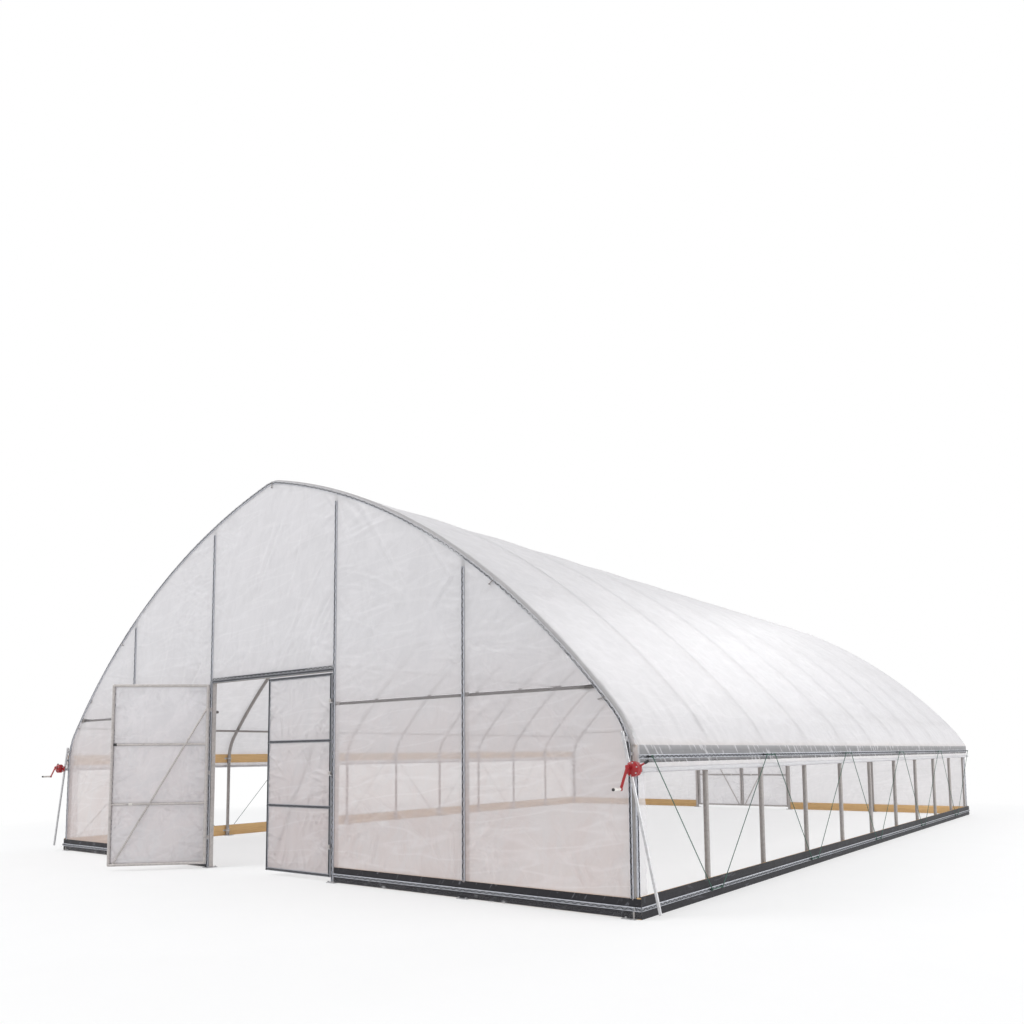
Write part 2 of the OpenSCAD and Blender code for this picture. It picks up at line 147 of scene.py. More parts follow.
def arch_half(off, low=math.pi / 2, step=0.03):
    """Right half of the arch, off its centre line by off, from the slope low up to the ridge."""
    parts = []
    for centre, radius, a, b in (
        (BEND_C, BEND_R + off, low, EAVE_PITCH),
        (RAFTER_C, RAFTER_R + off, EAVE_PITCH, RIDGE_PITCH),
        (RIDGE_C, RIDGE_R + off, RIDGE_PITCH, 0.0),
    ):
        count = max(3, round(radius * abs(a - b) / step))
        parts.append(on_circle(centre, radius, np.linspace(a, b, count + 1)[:-1]))
    return np.vstack([*parts, [[0.0, RIDGE_C[1] + RIDGE_R + off]]])


def whole_arch(right):
    """The right half of an outline and its mirror image, as one line from right to left."""
    return np.vstack([right, right[-2::-1] * [-1, 1]])


def arch_height(x, off=0.0):
    """Height of the arch over a distance from the middle."""
    line = arch_half(off)
    return np.interp(np.abs(x), line[::-1, 0], line[::-1, 1])


def resample(line, step):
    """A line cut into steps of even length."""
    gaps = np.r_[0, np.cumsum(np.linalg.norm(np.diff(line, axis=0), axis=1))]
    at = np.linspace(0, gaps[-1], max(2, round(gaps[-1] / step) + 1))
    return np.stack([np.interp(at, gaps, line[:, k]) for k in range(line.shape[1])], -1)


def table(xs, ys):
    """Columns at xs and rows at ys as two tables, and the same spots as a list of pairs."""
    x, y = np.meshgrid(xs, ys)
    return x, y, np.stack([x.ravel(), y.ravel()], -1)


def smooth(t, low, high):
    """0 below low, 1 above high and smooth between."""
    t = np.clip((t - low) / (high - low), 0, 1)
    return t * t * (3 - 2 * t)


# ---- Mesh making ----


def linked(name, data):
    """A new object in the scene."""
    thing = bpy.data.objects.new(name, data)
    bpy.context.scene.collection.objects.link(thing)
    return thing


class Shape:
    """Vertices and faces that grow piece by piece and end as one mesh."""

    def __init__(self):
        self.points, self.faces, self.kinds, self.count = [], [], [], 0

    def add(self, part, matrix=None, kind=0):
        points, faces = part
        points = np.asarray(points, float)
        flip = False
        if matrix is not None:
            m = np.array(matrix, float)
            points = points @ m[:3, :3].T + m[:3, 3]
            flip = np.linalg.det(m[:3, :3]) < 0
        for group, kind_of in zip(faces, kind if isinstance(kind, list) else [kind] * len(faces)):
            group = np.atleast_2d(np.asarray(group, int)) + self.count
            self.faces.append(group[:, ::-1] if flip else group)
            self.kinds.append(np.full(len(group), kind_of))
        self.points.append(points)
        self.count += len(points)
        return self

    def build(self, name, finishes, body="root", slot=None, stands_for=(), sharp=35, milk=None):
        """One object that rides on a body and may stand for CAD nodes."""
        mesh = bpy.data.meshes.new(name)
        points = np.vstack(self.points)
        mesh.vertices.add(len(points))
        mesh.vertices.foreach_set("co", points.astype(np.float32).ravel())
        sizes = np.concatenate([np.full(len(b), b.shape[1]) for b in self.faces])
        corners = np.concatenate([b.ravel() for b in self.faces])
        mesh.loops.add(len(corners))
        mesh.loops.foreach_set("vertex_index", corners.astype(np.int32))
        mesh.polygons.add(len(sizes))
        mesh.polygons.foreach_set("loop_start", np.r_[0, np.cumsum(sizes)[:-1]].astype(np.int32))
        mesh.polygons.foreach_set("material_index", np.concatenate(self.kinds).astype(np.int32))
        mesh.update(calc_edges=True)
        mesh.validate()
        mesh.polygons.foreach_set("use_smooth", np.ones(len(mesh.polygons), bool))
        mesh.set_sharp_from_angle(angle=math.radians(sharp))
        for look in finishes:
            mesh.materials.append(finish(look))
        if milk is not None:
            layer = mesh.attributes.new("milk", "FLOAT", "POINT")
            layer.data.foreach_set("value", np.asarray(milk, np.float32).ravel())
        return place(linked(name, mesh), body, stands_for)

    def film(self, name, look, stands_for, milks, body="root", sharp=180):
        """A piece of clear film, with how milky it is at its points or all over."""
        milk = np.broadcast_to(np.concatenate([np.ravel(m) for m in milks]), self.count)
        return self.build(name, [look], body, "clear_film", stands_for, sharp, milk)


def place(thing, body, stands_for=()):
    """Sets what a finished piece rides on and the nodes that it stands for."""
    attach(thing, body)
    if stands_for:
        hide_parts(*stands_for)
    return thing


def grid(points, flip=False):
    """A sheet of four-sided faces over rows and columns of points. Flip turns them to the other side."""
    points = points[:, ::-1] if flip else points
    rows, cols = points.shape[:2]
    at = np.arange(rows * cols).reshape(rows, cols)
    quads = np.stack([at[:-1, :-1], at[:-1, 1:], at[1:, 1:], at[1:, :-1]], -1).reshape(-1, 4)
    return points.reshape(-1, 3), [quads]


def closed(rings, flip=False):
    """A skin over rings of points, shut at both ends."""
    rows, cols = rings.shape[:2]
    at = np.arange(rows * cols).reshape(rows, cols)
    nxt = np.roll(at, -1, axis=1)
    quads = np.stack([at[:-1], nxt[:-1], nxt[1:], at[1:]], -1).reshape(-1, 4)
    faces = [quads, at[0][::-1], at[-1]]
    return rings.reshape(-1, 3), [np.atleast_2d(f)[:, ::-1] for f in faces] if flip else faces


def sweep(path, out, profile):
    """A closed outline carried along a path; its second number stands out along the vector out."""
    path, profile = np.asarray(path, float), np.asarray(profile, float)
    along = np.gradient(path, axis=0)
    along /= np.linalg.norm(along, axis=1)[:, None]
    out = np.broadcast_to(np.asarray(out, float), path.shape)
    out = out - (out * along).sum(1)[:, None] * along
    out = out / np.linalg.norm(out, axis=1)[:, None]
    side = np.cross(along, out)
    return closed(path[:, None] + profile[None, :, :1] * side[:, None] + profile[None, :, 1:] * out[:, None])


def turned(profile, base, axis, sides=16, turn=0.0):
    """A solid turned about an axis from base. Its profile is (radius, height) pairs, ending on the axis."""
    base, axis = Vector(base), Vector(axis).normalized()
    x = axis.orthogonal().normalized()
    y = axis.cross(x)
    points, rings = [], []
    for radius, height in profile:
        centre = base + axis * height
        if radius <= 0:
            rings.append([len(points)] * sides)
            points.append(centre)
            continue
        rings.append([len(points) + k for k in range(sides)])
        for k in range(sides):
            a = turn + 2 * math.pi * k / sides
            points.append(centre + radius * (math.cos(a) * x + math.sin(a) * y))
    faces = {3: [], 4: []}
    for low, high in zip(rings, rings[1:]):
        for k in range(sides):
            ring = list(dict.fromkeys([low[k], low[(k + 1) % sides], high[(k + 1) % sides], high[k]]))
            if len(ring) > 2:
                faces[len(ring)].append(ring)
    return np.array(points), [np.array(f) for f in faces.values() if f]


def rod(a, b, radius, sides=12, edge=0.0):
    """A round bar between two points with slightly rounded ends."""
    a, b = Vector(a), Vector(b)
    long = (b - a).length
    edge = edge or radius * 0.15
    rim = radius - edge
    profile = [(0, 0), (rim, 0), (radius, edge), (radius, long - edge), (rim, long), (0, long)]
    return turned(profile, a, b - a, sides)


def block(low, high, edge=0.002, cuts=1):
    """A box with its edges rounded over."""
    bm = bmesh.new()
    bmesh.ops.create_cube(bm, size=1)
    low, high = Vector(low), Vector(high)
    size = high - low
    for v in bm.verts:
        v.co = Vector([low[k] + (v.co[k] + 0.5) * size[k] for k in range(3)])
    edge = min(edge, min(size) * 0.45)
    bmesh.ops.bevel(bm, geom=bm.edges[:], offset=edge, segments=cuts, affect="EDGES", profile=0.5)
    return taken(bm)


def taken(bm):
    """The points and faces of a bmesh, which is then freed."""
    bm.verts.index_update()
    points = np.array([v.co[:] for v in bm.verts])
    sizes = {}
    for f in bm.faces:
        sizes.setdefault(len(f.verts), []).append([v.index for v in f.verts])
    bm.free()
    return points, [np.array(f) for f in sizes.values()]


def mesh_object(name, points, faces=()):
    """A plain object of faces, or of one line where there are none."""
    mesh = bpy.data.meshes.new(name)
    edges = [] if len(faces) else [(i, i + 1) for i in range(len(points) - 1)]
    mesh.from_pydata([tuple(p) for p in points], edges, [tuple(f) for f in faces])
    return linked(name, mesh)


# ---- Node trees written as expressions ----


class Sock:
    """An output socket of a node tree. Sums on it add Math nodes."""

    def __init__(self, tree, socket):
        self.tree, self.socket = tree, socket

    def of(self, output):
        return Sock(self.tree, self.socket.node.outputs[output])

    def math(self, operation, *others, swap=False):
        values = [self, *others][::-1] if swap else [self, *others]
        return self.tree.node("ShaderNodeMath", {"operation": operation}, dict(enumerate(values)))

    def __add__(self, other):
        return self.math("ADD", other)

    def __sub__(self, other):
        return self.math("SUBTRACT", other)

    def __rsub__(self, other):
        return self.math("SUBTRACT", other, swap=True)

    def __mul__(self, other):
        return self.math("MULTIPLY", other)

    def __truediv__(self, other):
        return self.math("DIVIDE", other)

    __radd__, __rmul__ = __add__, __mul__

    def clamped(self, low=0.0, high=1.0):
        return self.math("MAXIMUM", low).math("MINIMUM", high)

    def ramp(self, low, high):
        """0 below low, 1 above high and smooth between."""
        return self.tree.node(
            "ShaderNodeMapRange",
            {"interpolation_type": "SMOOTHSTEP"},
            {"Value": self, "From Min": low, "From Max": high},
        )


class Tree:
    """Wraps a node tree, for materials and for Geometry Nodes."""

    def __init__(self, tree):
        self.tree = tree

    def node(self, kind, settings=None, values=None, out=0):
        made = self.tree.nodes.new(kind)
        for name, value in (settings or {}).items():
            setattr(made, name, value)
        for name, value in (values or {}).items():
            if isinstance(value, Sock):
                self.tree.links.new(value.socket, made.inputs[name])
            else:
                made.inputs[name].default_value = value
        return Sock(self, made.outputs[out]) if len(made.outputs) else made

    def plain_rays(self):
        """1 for the rays that show what is straight ahead, mirrored or behind glass."""
        path = self.node("ShaderNodeLightPath")
        camera, glossy, through = (path.of(f"Is {kind} Ray") for kind in ("Camera", "Glossy", "Transmission"))
        return (camera + glossy + through).clamped()


class Finish(Tree):
    """A procedural material."""

    def __init__(self, name):
        self.material = bpy.data.materials.new(name)
        self.material.use_nodes = True
        super().__init__(self.material.node_tree)
        self.tree.nodes.clear()
        self.place = self.node("ShaderNodeTexCoord", out="Object")

    def stretched(self, scale):
        return self.node("ShaderNodeMapping", values={"Vector": self.place, "Scale": scale})

    def laid(self, lengths, turn=(0.0, 0.0, 0.0)):
        """Object coordinates turned first and then drawn out by lengths."""
        values = {"Vector": self.place, "Rotation": turn, "Scale": lengths}
        return self.node("ShaderNodeMapping", {"vector_type": "TEXTURE"}, values)

    def noise(self, scale, detail=4.0, rough=0.55, at=None, distort=0.0):
        values = {"Vector": at or self.place, "Scale": scale, "Detail": detail}
        values |= {"Roughness": rough, "Distortion": distort}
        return self.node("ShaderNodeTexNoise", values=values)

    def height(self):
        return self.node("ShaderNodeSeparateXYZ", values={0: self.place}, out="Z")

    def blend(self, share, low, high):
        """A colour between two colours, by a share from 0 to 1."""
        values = {0: share, 6: colour(low), 7: colour(high)}
        return self.node("ShaderNodeMix", {"data_type": "RGBA"}, values, out=2)

    def bump(self, height, depth, strength=1.0):
        return self.node("ShaderNodeBump", values={"Height": height, "Distance": depth, "Strength": strength})

    def body(self, **values):
        named = {k.replace("_", " "): v for k, v in values.items()}
        return self.node("ShaderNodeBsdfPrincipled", values=named)

    def done(self, shader):
        self.node("ShaderNodeOutputMaterial", values={"Surface": shader})
        return self.material


def colour(value):
    """A colour of three numbers gets a fourth; a socket passes through."""
    return value if isinstance(value, Sock) else (*tuple(value)[:3], 1.0)


# ---- Sizes and colours that a user would change ----


def size(name, text, metres):
    return bpy.props.FloatProperty(name=name, description=text, default=metres, unit="LENGTH")


def tint(name, text, value):
    return bpy.props.FloatVectorProperty(name=name, description=text, default=value, subtype="COLOR", size=3)


class TunnelSizes(bpy.types.PropertyGroup):
    """Sizes of the tunnel's looks."""

    film_sag: size("Film sag", "How far the roof film dips between two hoops", 0.012)
    fold_depth: size("Fold depth", "Depth of the deepest folds in the end walls", 0.009)
    wire_pitch: size("Wire pitch", "Length of one wave of the spring wire", 0.076)
    wire_radius: size("Wire radius", "Radius of the spring wire", 0.0030)
    rope_radius: size("Rope radius", "Radius of the lacing rope", 0.0048)
    rope_lay: size("Rope lay", "Length of one turn of the rope's strands", 0.05)
    door_open: bpy.props.FloatProperty(
        name="Door open",
        description="Angle that the front left leaf stands open at rest",
        default=math.radians(136),
        subtype="ANGLE",
    )
    haze: bpy.props.FloatProperty(
        name="Haze", description="How much of the light the film scatters", default=0.79
    )


class TunnelColours(bpy.types.PropertyGroup):
    """Colours of the tunnel's finishes."""

    film: tint("Film", "Milky film", (0.735, 0.728, 0.745))
    dust: tint("Dust", "Dust on the foot of the film", (0.600, 0.522, 0.508))
    steel: tint("Steel", "Dull galvanised tube", (0.335, 0.315, 0.305))
    zinc: tint("Zinc", "Bright galvanised parts", (0.50, 0.50, 0.51))
    lock: tint("Channel", "Wire-lock channel", (0.36, 0.37, 0.40))
    wire: tint("Wire", "Coated spring wire", (0.035, 0.037, 0.042))
    cover: tint("Dark film", "Ground-cover film", (0.013, 0.0125, 0.016))
    pine: tint("Pine", "Bare pine", (0.92, 0.56, 0.26))
    rope: tint("Rope", "Lacing rope", (0.028, 0.105, 0.075))
    red: tint("Red", "Enamel of the cranks", (0.34, 0.010, 0.014))


def sizes():
    return bpy.context.scene.tunnel_sizes


def colours():
    return bpy.context.scene.tunnel_colours


# ---- Finishes ----


def shade(value, factor):
    """A colour made darker or brighter, up to white."""
    return tuple(min(1.0, c * factor) for c in tuple(value)[:3])


def metal_finish(name, base, metallic, rough, grain):
    """Galvanised metal: soft clouds, crystal spangle and a few dull stains."""
    f = Finish(name)
    cloud = f.noise(3.0, 5.0)
    spangle = f.node("ShaderNodeTexVoronoi", values={"Vector": f.place, "Scale": grain}, out="Color")
    flake = f.node("ShaderNodeSeparateColor", values={0: spangle})
    stain = f.noise(11.0, 6.0, 0.7).ramp(0.58, 0.72)
    mixed = (0.65 * cloud + 0.35 * flake).clamped()
    base_colour = f.blend(stain * 0.4, f.blend(mixed, shade(base, 0.72), shade(base, 1.28)), shade(base, 0.5))
    roughness = (rough - 0.08 + 0.16 * flake + 0.2 * stain).clamped(0.05, 1.0)
    normal = f.bump(f.noise(grain * 1.6, 2.0), 0.0006, 0.4)
    return f.done(f.body(Base_Color=base_colour, Metallic=metallic, Roughness=roughness, Normal=normal))


def film_finish(
    name, dusty=0.0, haze_gain=1.0, bright=1.0, glow_share=0.38, crumple_shade=0.25, drawn=(7.0, 1.0, 1.0),
    band=False, rail=False,
):
    """Milky film that shows what is behind it and scatters the rest, with a painted highlight along its
    creases.

    Band adds streaks where the film laps over the hip band, and rail clears it where it lies on a cross rail.
    The crumple share darkens soft patches: painted shade of the crumpled film.
    """
    f = Finish(name)
    look, tones = sizes(), colours()
    clouds = f.noise(0.55, 3.0)
    streaks = f.noise(5.0, 5.0, 0.6, at=f.stretched((1.0, 1.0, 0.35)), distort=0.6)
    scuffs = f.noise(38.0, 4.0, 0.65)
    dust = (1.0 - (f.height() + 0.3 * clouds).ramp(0.5, 2.7)) * dusty
    dust = (dust * (0.75 + 0.5 * streaks)).clamped()
    line = f.noise(7.0, 1.0, 0.5, at=f.laid(drawn, (0.0, -0.1, 0.0)))
    crease = 1.0 - ((line - 0.5).math("ABSOLUTE") * 22.0).clamped()
    # Bright scales this piece's film colour: painted light and shade.
    plain = f.blend(clouds, shade(tones.film, 0.97 * bright), shade(tones.film, 1.03 * bright))
    # Soft patches turned darker by the crumple share: painted shade of the crumpled film.
    soft = f.noise(6.0, 5.0, 0.62, at=f.laid((1.0, 1.0, 2.0), (0.0, 0.5, 0.0)), distort=0.8).ramp(0.42, 0.62)
    toned = f.blend(soft * crumple_shade, f.blend(dust, plain, tones.dust), shade(tones.film, 0.84 * bright))
    # Lighter along the crease lines: a painted highlight.
    base = f.blend(crease * 0.15, toned, shade(tones.film, 1.25 * bright))
    milk = f.node("ShaderNodeAttribute", {"attribute_name": "milk"}, out="Fac")
    cover = look.haze * haze_gain * (0.90 + 0.20 * streaks) + 0.05 * scuffs
    veil = cover * milk
    if band:
        on_band = 1.0 - f.height().ramp(HIP_TOP - 0.002, HIP_TOP + 0.010)
        slants = f.noise(30.0, 2.0, 0.5, at=f.laid((1.0, 1.0, 6.0), (0.75, 0.0, 0.0))).ramp(0.57, 0.68)
        veil = veil + on_band * slants * 0.38
    if rail:
        veil = veil * (0.25 + 0.75 * (f.height() - RAIL_Z).math("ABSOLUTE").ramp(0.013, 0.023))
    alpha = veil.clamped(0.03, 1.0)
    normal = f.bump(f.noise(16.0, 5.0, 0.6, distort=1.2) + 0.25 * crease, 0.004, 0.3)
    roughness = 0.24 + 0.22 * scuffs
    skin = f.body(Base_Color=base, Roughness=roughness, IOR=1.45, Normal=normal)
    glow = f.node("ShaderNodeBsdfTranslucent", values={"Color": base, "Normal": normal})
    sheet = f.node("ShaderNodeMixShader", values={0: glow_share, 1: skin, 2: glow})
    clear = f.node("ShaderNodeBsdfTransparent")
    return f.done(f.node("ShaderNodeMixShader", values={0: alpha, 1: clear, 2: sheet}))


def cover_finish(name, sheen=0.2, lengths=(2.0, 2.0, 0.33)):
    """Dark woven ground cover under a tight film, with pale streaks along it that are painted sheen of the
    film.
    """
    f = Finish(name)
    base = colours().cover
    bands = {"wave_type": "BANDS", "bands_direction": "DIAGONAL"}
    weave = f.node("ShaderNodeTexWave", bands, {0: f.place, 1: 420.0})
    streak = f.noise(7.0, 6.0, 0.62, at=f.laid(lengths, (0.0, 0.5, 0.0)), distort=0.8)
    pale = streak.ramp(0.56, 0.72)
    # Pale streaks blended in by the sheen share: painted sheen of the film over the dark cover.
    tone = f.blend(pale * sheen, f.blend(weave, shade(base, 0.75), shade(base, 1.3)), (0.30, 0.30, 0.34))
    normal = f.bump(f.noise(24.0, 4.0, 0.6, distort=0.6) + 0.05 * weave, 0.004, 0.5)
    roughness = 0.42 + 0.3 * streak
    return f.done(f.body(Base_Color=tone, Roughness=roughness, Specular_IOR_Level=0.32, Normal=normal))


def pine_finish(name, along):
    """Bare pine with rings stretched along the board, darker knots and saw marks."""
    f = Finish(name)
    base = colours().pine
    scale = [1.0, 1.0, 1.0]
    scale[along] = 0.045
    at = f.stretched(tuple(scale))
    warp = f.noise(9.0, 3.0, 0.5, at=at)
    rings = f.node("ShaderNodeTexWave", {"bands_direction": "Z"}, {0: at, 1: 26.0, 2: 9.0, 3: 3.0, 4: 1.6})
    fine = f.noise(230.0, 3.0, 0.6, at=at)
    scale[along] = 0.28
    knot_at = f.stretched(tuple(scale))
    spot = f.node("ShaderNodeTexVoronoi", values={"Vector": knot_at, "Scale": 4.2}, out="Distance")
    knot = 1.0 - spot.ramp(0.03, 0.10)
    share = (0.45 * rings + 0.35 * warp + 0.2 * fine).clamped()
    tone = f.blend(share, shade(base, 1.2), shade(base, 0.56))
    tone = f.blend(knot * 0.8, tone, shade(base, 0.28))
    normal = f.bump(0.6 * fine + 0.4 * rings, 0.0015, 0.5)
    return f.done(f.body(Base_Color=tone, Roughness=0.62 + 0.2 * warp, Normal=normal))


def plastic_finish(name, base, rough, wear=0.15):
    """Moulded or enamelled surface with faint clouding and rubbed patches."""
    f = Finish(name)
    cloud = f.noise(30.0, 5.0)
    rub = f.noise(90.0, 4.0, 0.7).ramp(0.60, 0.72)
    tone = f.blend(rub * wear, f.blend(cloud, shade(base, 0.85), shade(base, 1.15)), shade(base, 0.45))
    normal = f.bump(f.noise(160.0, 3.0), 0.0005, 0.35)
    return f.done(f.body(Base_Color=tone, Roughness=rough - 0.08 + 0.2 * cloud, Normal=normal))


def rope_finish(name):
    """Polypropylene rope with fine fibres across its strands."""
    f = Finish(name)
    base = colours().rope
    fibre = f.noise(700.0, 3.0, 0.7)
    fade = f.noise(4.0, 3.0)
    tone = f.blend(fibre, shade(base, 0.6), shade(base, 1.5))
    tone = f.blend(fade * 0.25, tone, (0.25, 0.32, 0.28))
    return f.done(f.body(Base_Color=tone, Roughness=0.5 + 0.3 * fibre, Normal=f.bump(fibre, 0.0006, 0.6)))


# By name: a colour and its factor, how metallic, how rough, and how fine the grain.
METALS = {
    "tube": ("steel", 1.0, 0.55, 0.46, 60.0),
    # Lighter copy of the steel colour: painted light on the door frames, jambs and leaf clamps.
    "leaf_tube": ("steel", 1.5, 0.45, 0.42, 60.0),
    # Darker copies of the steel colour: painted shade on the cross rails and the cups at their ends, seen
    # behind the film.
    "rail": ("steel", 0.5, 0.4, 0.5, 60.0),
    "clamp": ("steel", 0.30, 0.3, 0.5, 60.0),
    "zinc": ("zinc", 1.0, 0.6, 0.40, 60.0),
    "pole": ("zinc", 1.05, 0.55, 0.36, 60.0),
    "lock": ("lock", 1.0, 0.55, 0.38, 90.0),
    # Darker copy of the channel colour: painted shade in the hollows of the header and door channels.
    "hollow": ("lock", 0.42, 0.4, 0.5, 90.0),
    # Lighter copies of the channel colour: painted light on the lips of the base, hip, arch and upright
    # channels, as if lit from above.
    "base_lock": ("lock", 1.9, 0.4, 0.36, 90.0),
    "arch_lock": ("lock", 1.6, 0.25, 0.42, 90.0),
    "arch_hollow": ("lock", 1.0, 0.3, 0.5, 90.0),
}
# Bright scales the one film colour piece by piece as painted light and shade; it is highest on the open leaf,
# whose sheet faces another way.
FILMS = {
    "roof_film": {"haze_gain": 1.19, "bright": 1.05, "drawn": (1.0, 4.0, 1.0), "band": True},
    "end_film": {"dusty": 1.0, "rail": True},
    "back_film": {"dusty": 0.15, "bright": 1.08, "glow_share": 0.5, "rail": True},
    "back_leaf_film": {"dusty": 0.15, "bright": 1.08, "glow_share": 0.5},
    "leaf_film": {"dusty": 0.7, "haze_gain": 1.12, "bright": 0.99, "glow_share": 0.45},
    "open_leaf_film": {"dusty": 0.35, "haze_gain": 1.12, "bright": 1.27, "glow_share": 0.5, "crumple_shade": 0.6},
    "roll_film": {"haze_gain": 1.25, "bright": 1.1},
}
OTHERS = {
    "cover": lambda: cover_finish("cover"),
    "end_cover": lambda: cover_finish("end_cover", 0.42, (0.3, 0.3, 1.0)),
    "pine_long": lambda: pine_finish("pine_long", 1),
    "pine_cross": lambda: pine_finish("pine_cross", 0),
    "rope": lambda: rope_finish("rope"),
    "wire": lambda: plastic_finish("wire", colours().wire, 0.38),
    "red": lambda: plastic_finish("red", colours().red, 0.34, 0.5),
    "black": lambda: plastic_finish("black", (0.018, 0.018, 0.020), 0.45),
    "pale": lambda: plastic_finish("pale", (0.72, 0.70, 0.66), 0.42),
}
MADE = {}


def finish(name):
    """The material of that name, made once."""
    if name not in MADE:
        if name in METALS:
            tone, factor, *surface = METALS[name]
            MADE[name] = metal_finish(name, shade(getattr(colours(), tone), factor), *surface)
        elif name in FILMS:
            MADE[name] = film_finish(name, **FILMS[name])
        else:
            MADE[name] = OTHERS[name]()
    return MADE[name]


def dress(name, *nodes):
    """Gives CAD nodes a finish in place of their plain one."""
    for node in nodes:
        NODES[node].data.materials.clear()
        NODES[node].data.materials.append(finish(name))


# ---- Folds ----


def folds(rng, p, xs, ys, angles, lengths, depth, width):
    """Height over the points p of creases that leave each start at its angle and fade out."""
    total = np.zeros(len(p))
    for x, y, angle, length in zip(*np.broadcast_arrays(xs, ys, angles, lengths)):
        across = width * rng.uniform(0.7, 1.5)
        swing = rng.normal(0, 0.25) / max(length, 0.1)
        rise = depth * rng.uniform(0.35, 1.0)
        dx, dy = p[:, 0] - x, p[:, 1] - y
        u = dx * math.cos(angle) + dy * math.sin(angle)
        v = dy * math.cos(angle) - dx * math.sin(angle) + swing * u * u
        t = np.clip(u / length, 0, 1)
        fade = np.sin(np.pi * t ** 0.6) * (u > 0)
        spread = across * (0.55 + 0.9 * t)
        ridge = np.exp(-((v / spread) ** 2))
        trough = np.exp(-(((v - 1.7 * spread) / spread) ** 2))
        total += rise * fade * (ridge - 0.45 * trough)
    return total


def rumple(rng, p, scale, depth):
    """Soft random waves over the points p, in metres."""
    total = np.zeros(len(p))
    for _ in range(14):
        a = rng.uniform(0, np.pi)
        wave = 2 * np.pi / (scale * rng.uniform(0.5, 2.0))
        total += np.sin(wave * (p[:, 0] * np.cos(a) + p[:, 1] * np.sin(a)) + rng.uniform(0, 6.28))
    return total * depth / 5


# ---- Geometry Nodes ----


def new_tree(name, inputs):
    """An empty Geometry Nodes tree with its named inputs, and sockets for them."""
    group = bpy.data.node_groups.new(name, "GeometryNodeTree")
    group.interface.new_socket("Geometry", in_out="INPUT", socket_type="NodeSocketGeometry")
    group.interface.new_socket("Geometry", in_out="OUTPUT", socket_type="NodeSocketGeometry")
    for label, kind in inputs.items():
        group.interface.new_socket(label, in_out="INPUT", socket_type=kind)
    t = Tree(group)
    return group, t, t.node("NodeGroupInput")


def finish_tree(t, geometry, material):
    """Makes what has grown real, gives it its material and puts it out."""
    real = t.node("GeometryNodeRealizeInstances", values={0: geometry})
    painted = t.node("GeometryNodeSetMaterial", values={0: real, "Material": material})
    t.node("NodeGroupOutput", values={0: painted})


def wire_tree():
    """Zigzag spring wire along a line: even steps swing to either side of it in the channel's plane."""
    kinds = {"Pitch": "NodeSocketFloat", "Swing": "NodeSocketFloat", "Radius": "NodeSocketFloat"}
    kinds |= {"Out": "NodeSocketVector", "Material": "NodeSocketMaterial"}
    group, t, entry = new_tree("spring_wire", kinds)
    line = t.node("GeometryNodeMeshToCurve", values={0: entry})
    step = entry.of("Pitch") * 0.25
    even = t.node("GeometryNodeResampleCurve", {"mode": "LENGTH"}, {0: line, "Length": step})
    index = t.node("GeometryNodeInputIndex")
    flat = (index * (math.pi / 2) + math.pi / 4).math("SINE") * 1.4
    along = t.node("GeometryNodeInputTangent")
    side = t.node("ShaderNodeVectorMath", {"operation": "CROSS_PRODUCT"}, {0: along, 1: entry.of("Out")})
    swing = flat * entry.of("Swing")
    shift = t.node("ShaderNodeVectorMath", {"operation": "SCALE"}, {0: side, "Scale": swing})
    bent = t.node("GeometryNodeSetPosition", values={0: even, "Offset": shift})
    ring = t.node("GeometryNodeCurvePrimitiveCircle", values={"Resolution": 4, "Radius": entry.of("Radius")})
    tube = t.node("GeometryNodeCurveToMesh", values={0: bent, 1: ring, "Fill Caps": True})
    finish_tree(t, tube, entry.of("Material"))
    return group


def rope_tree():
    """Three-strand rope along a line: a three-lobed section that turns as it goes."""
    kinds = {"Radius": "NodeSocketFloat", "Lay": "NodeSocketFloat", "Material": "NodeSocketMaterial"}
    group, t, entry = new_tree("laid_rope", kinds)
    line = t.node("GeometryNodeMeshToCurve", values={0: entry})
    step = entry.of("Lay") * 0.2
    even = t.node("GeometryNodeResampleCurve", {"mode": "LENGTH"}, {0: line, "Length": step})
    gone = t.node("GeometryNodeSplineParameter", out="Length")
    tilt = gone / entry.of("Lay") * (2 * math.pi)
    turned_line = t.node("GeometryNodeSetCurveTilt", values={0: even, "Tilt": tilt})
    ring = t.node("GeometryNodeCurvePrimitiveCircle", values={"Resolution": 9, "Radius": entry.of("Radius")})
    index = t.node("GeometryNodeInputIndex")
    lobe = (index * (2 * math.pi / 3)).math("COSINE") * 0.16 + 0.86
    spot = t.node("GeometryNodeInputPosition")
    size_to = t.node("ShaderNodeVectorMath", {"operation": "SCALE"}, {0: spot, "Scale": lobe})
    lobed = t.node("GeometryNodeSetPosition", values={0: ring, "Position": size_to})
    tube = t.node("GeometryNodeCurveToMesh", values={0: turned_line, 1: lobed, "Fill Caps": True})
    finish_tree(t, tube, entry.of("Material"))
    return group


def scatter_tree():
    """A small part put on every point, its Z axis along the point's own normal."""
    kinds = {"Part": "NodeSocketObject", "Material": "NodeSocketMaterial"}
    group, t, entry = new_tree("fixings", kinds)
    part = t.node("GeometryNodeObjectInfo", values={"Object": entry.of("Part")}, out="Geometry")
    normal = t.node("GeometryNodeInputNamedAttribute", {"data_type": "FLOAT_VECTOR"}, {"Name": "out"})
    turn = t.node("FunctionNodeAlignRotationToVector", {"axis": "Z"}, {"Vector": normal})
    dots = t.node("GeometryNodeMeshToPoints", values={0: entry})
    put = t.node("GeometryNodeInstanceOnPoints", values={0: dots, "Instance": part, "Rotation": turn})
    finish_tree(t, put, entry.of("Material"))
    return group


TREES = {}


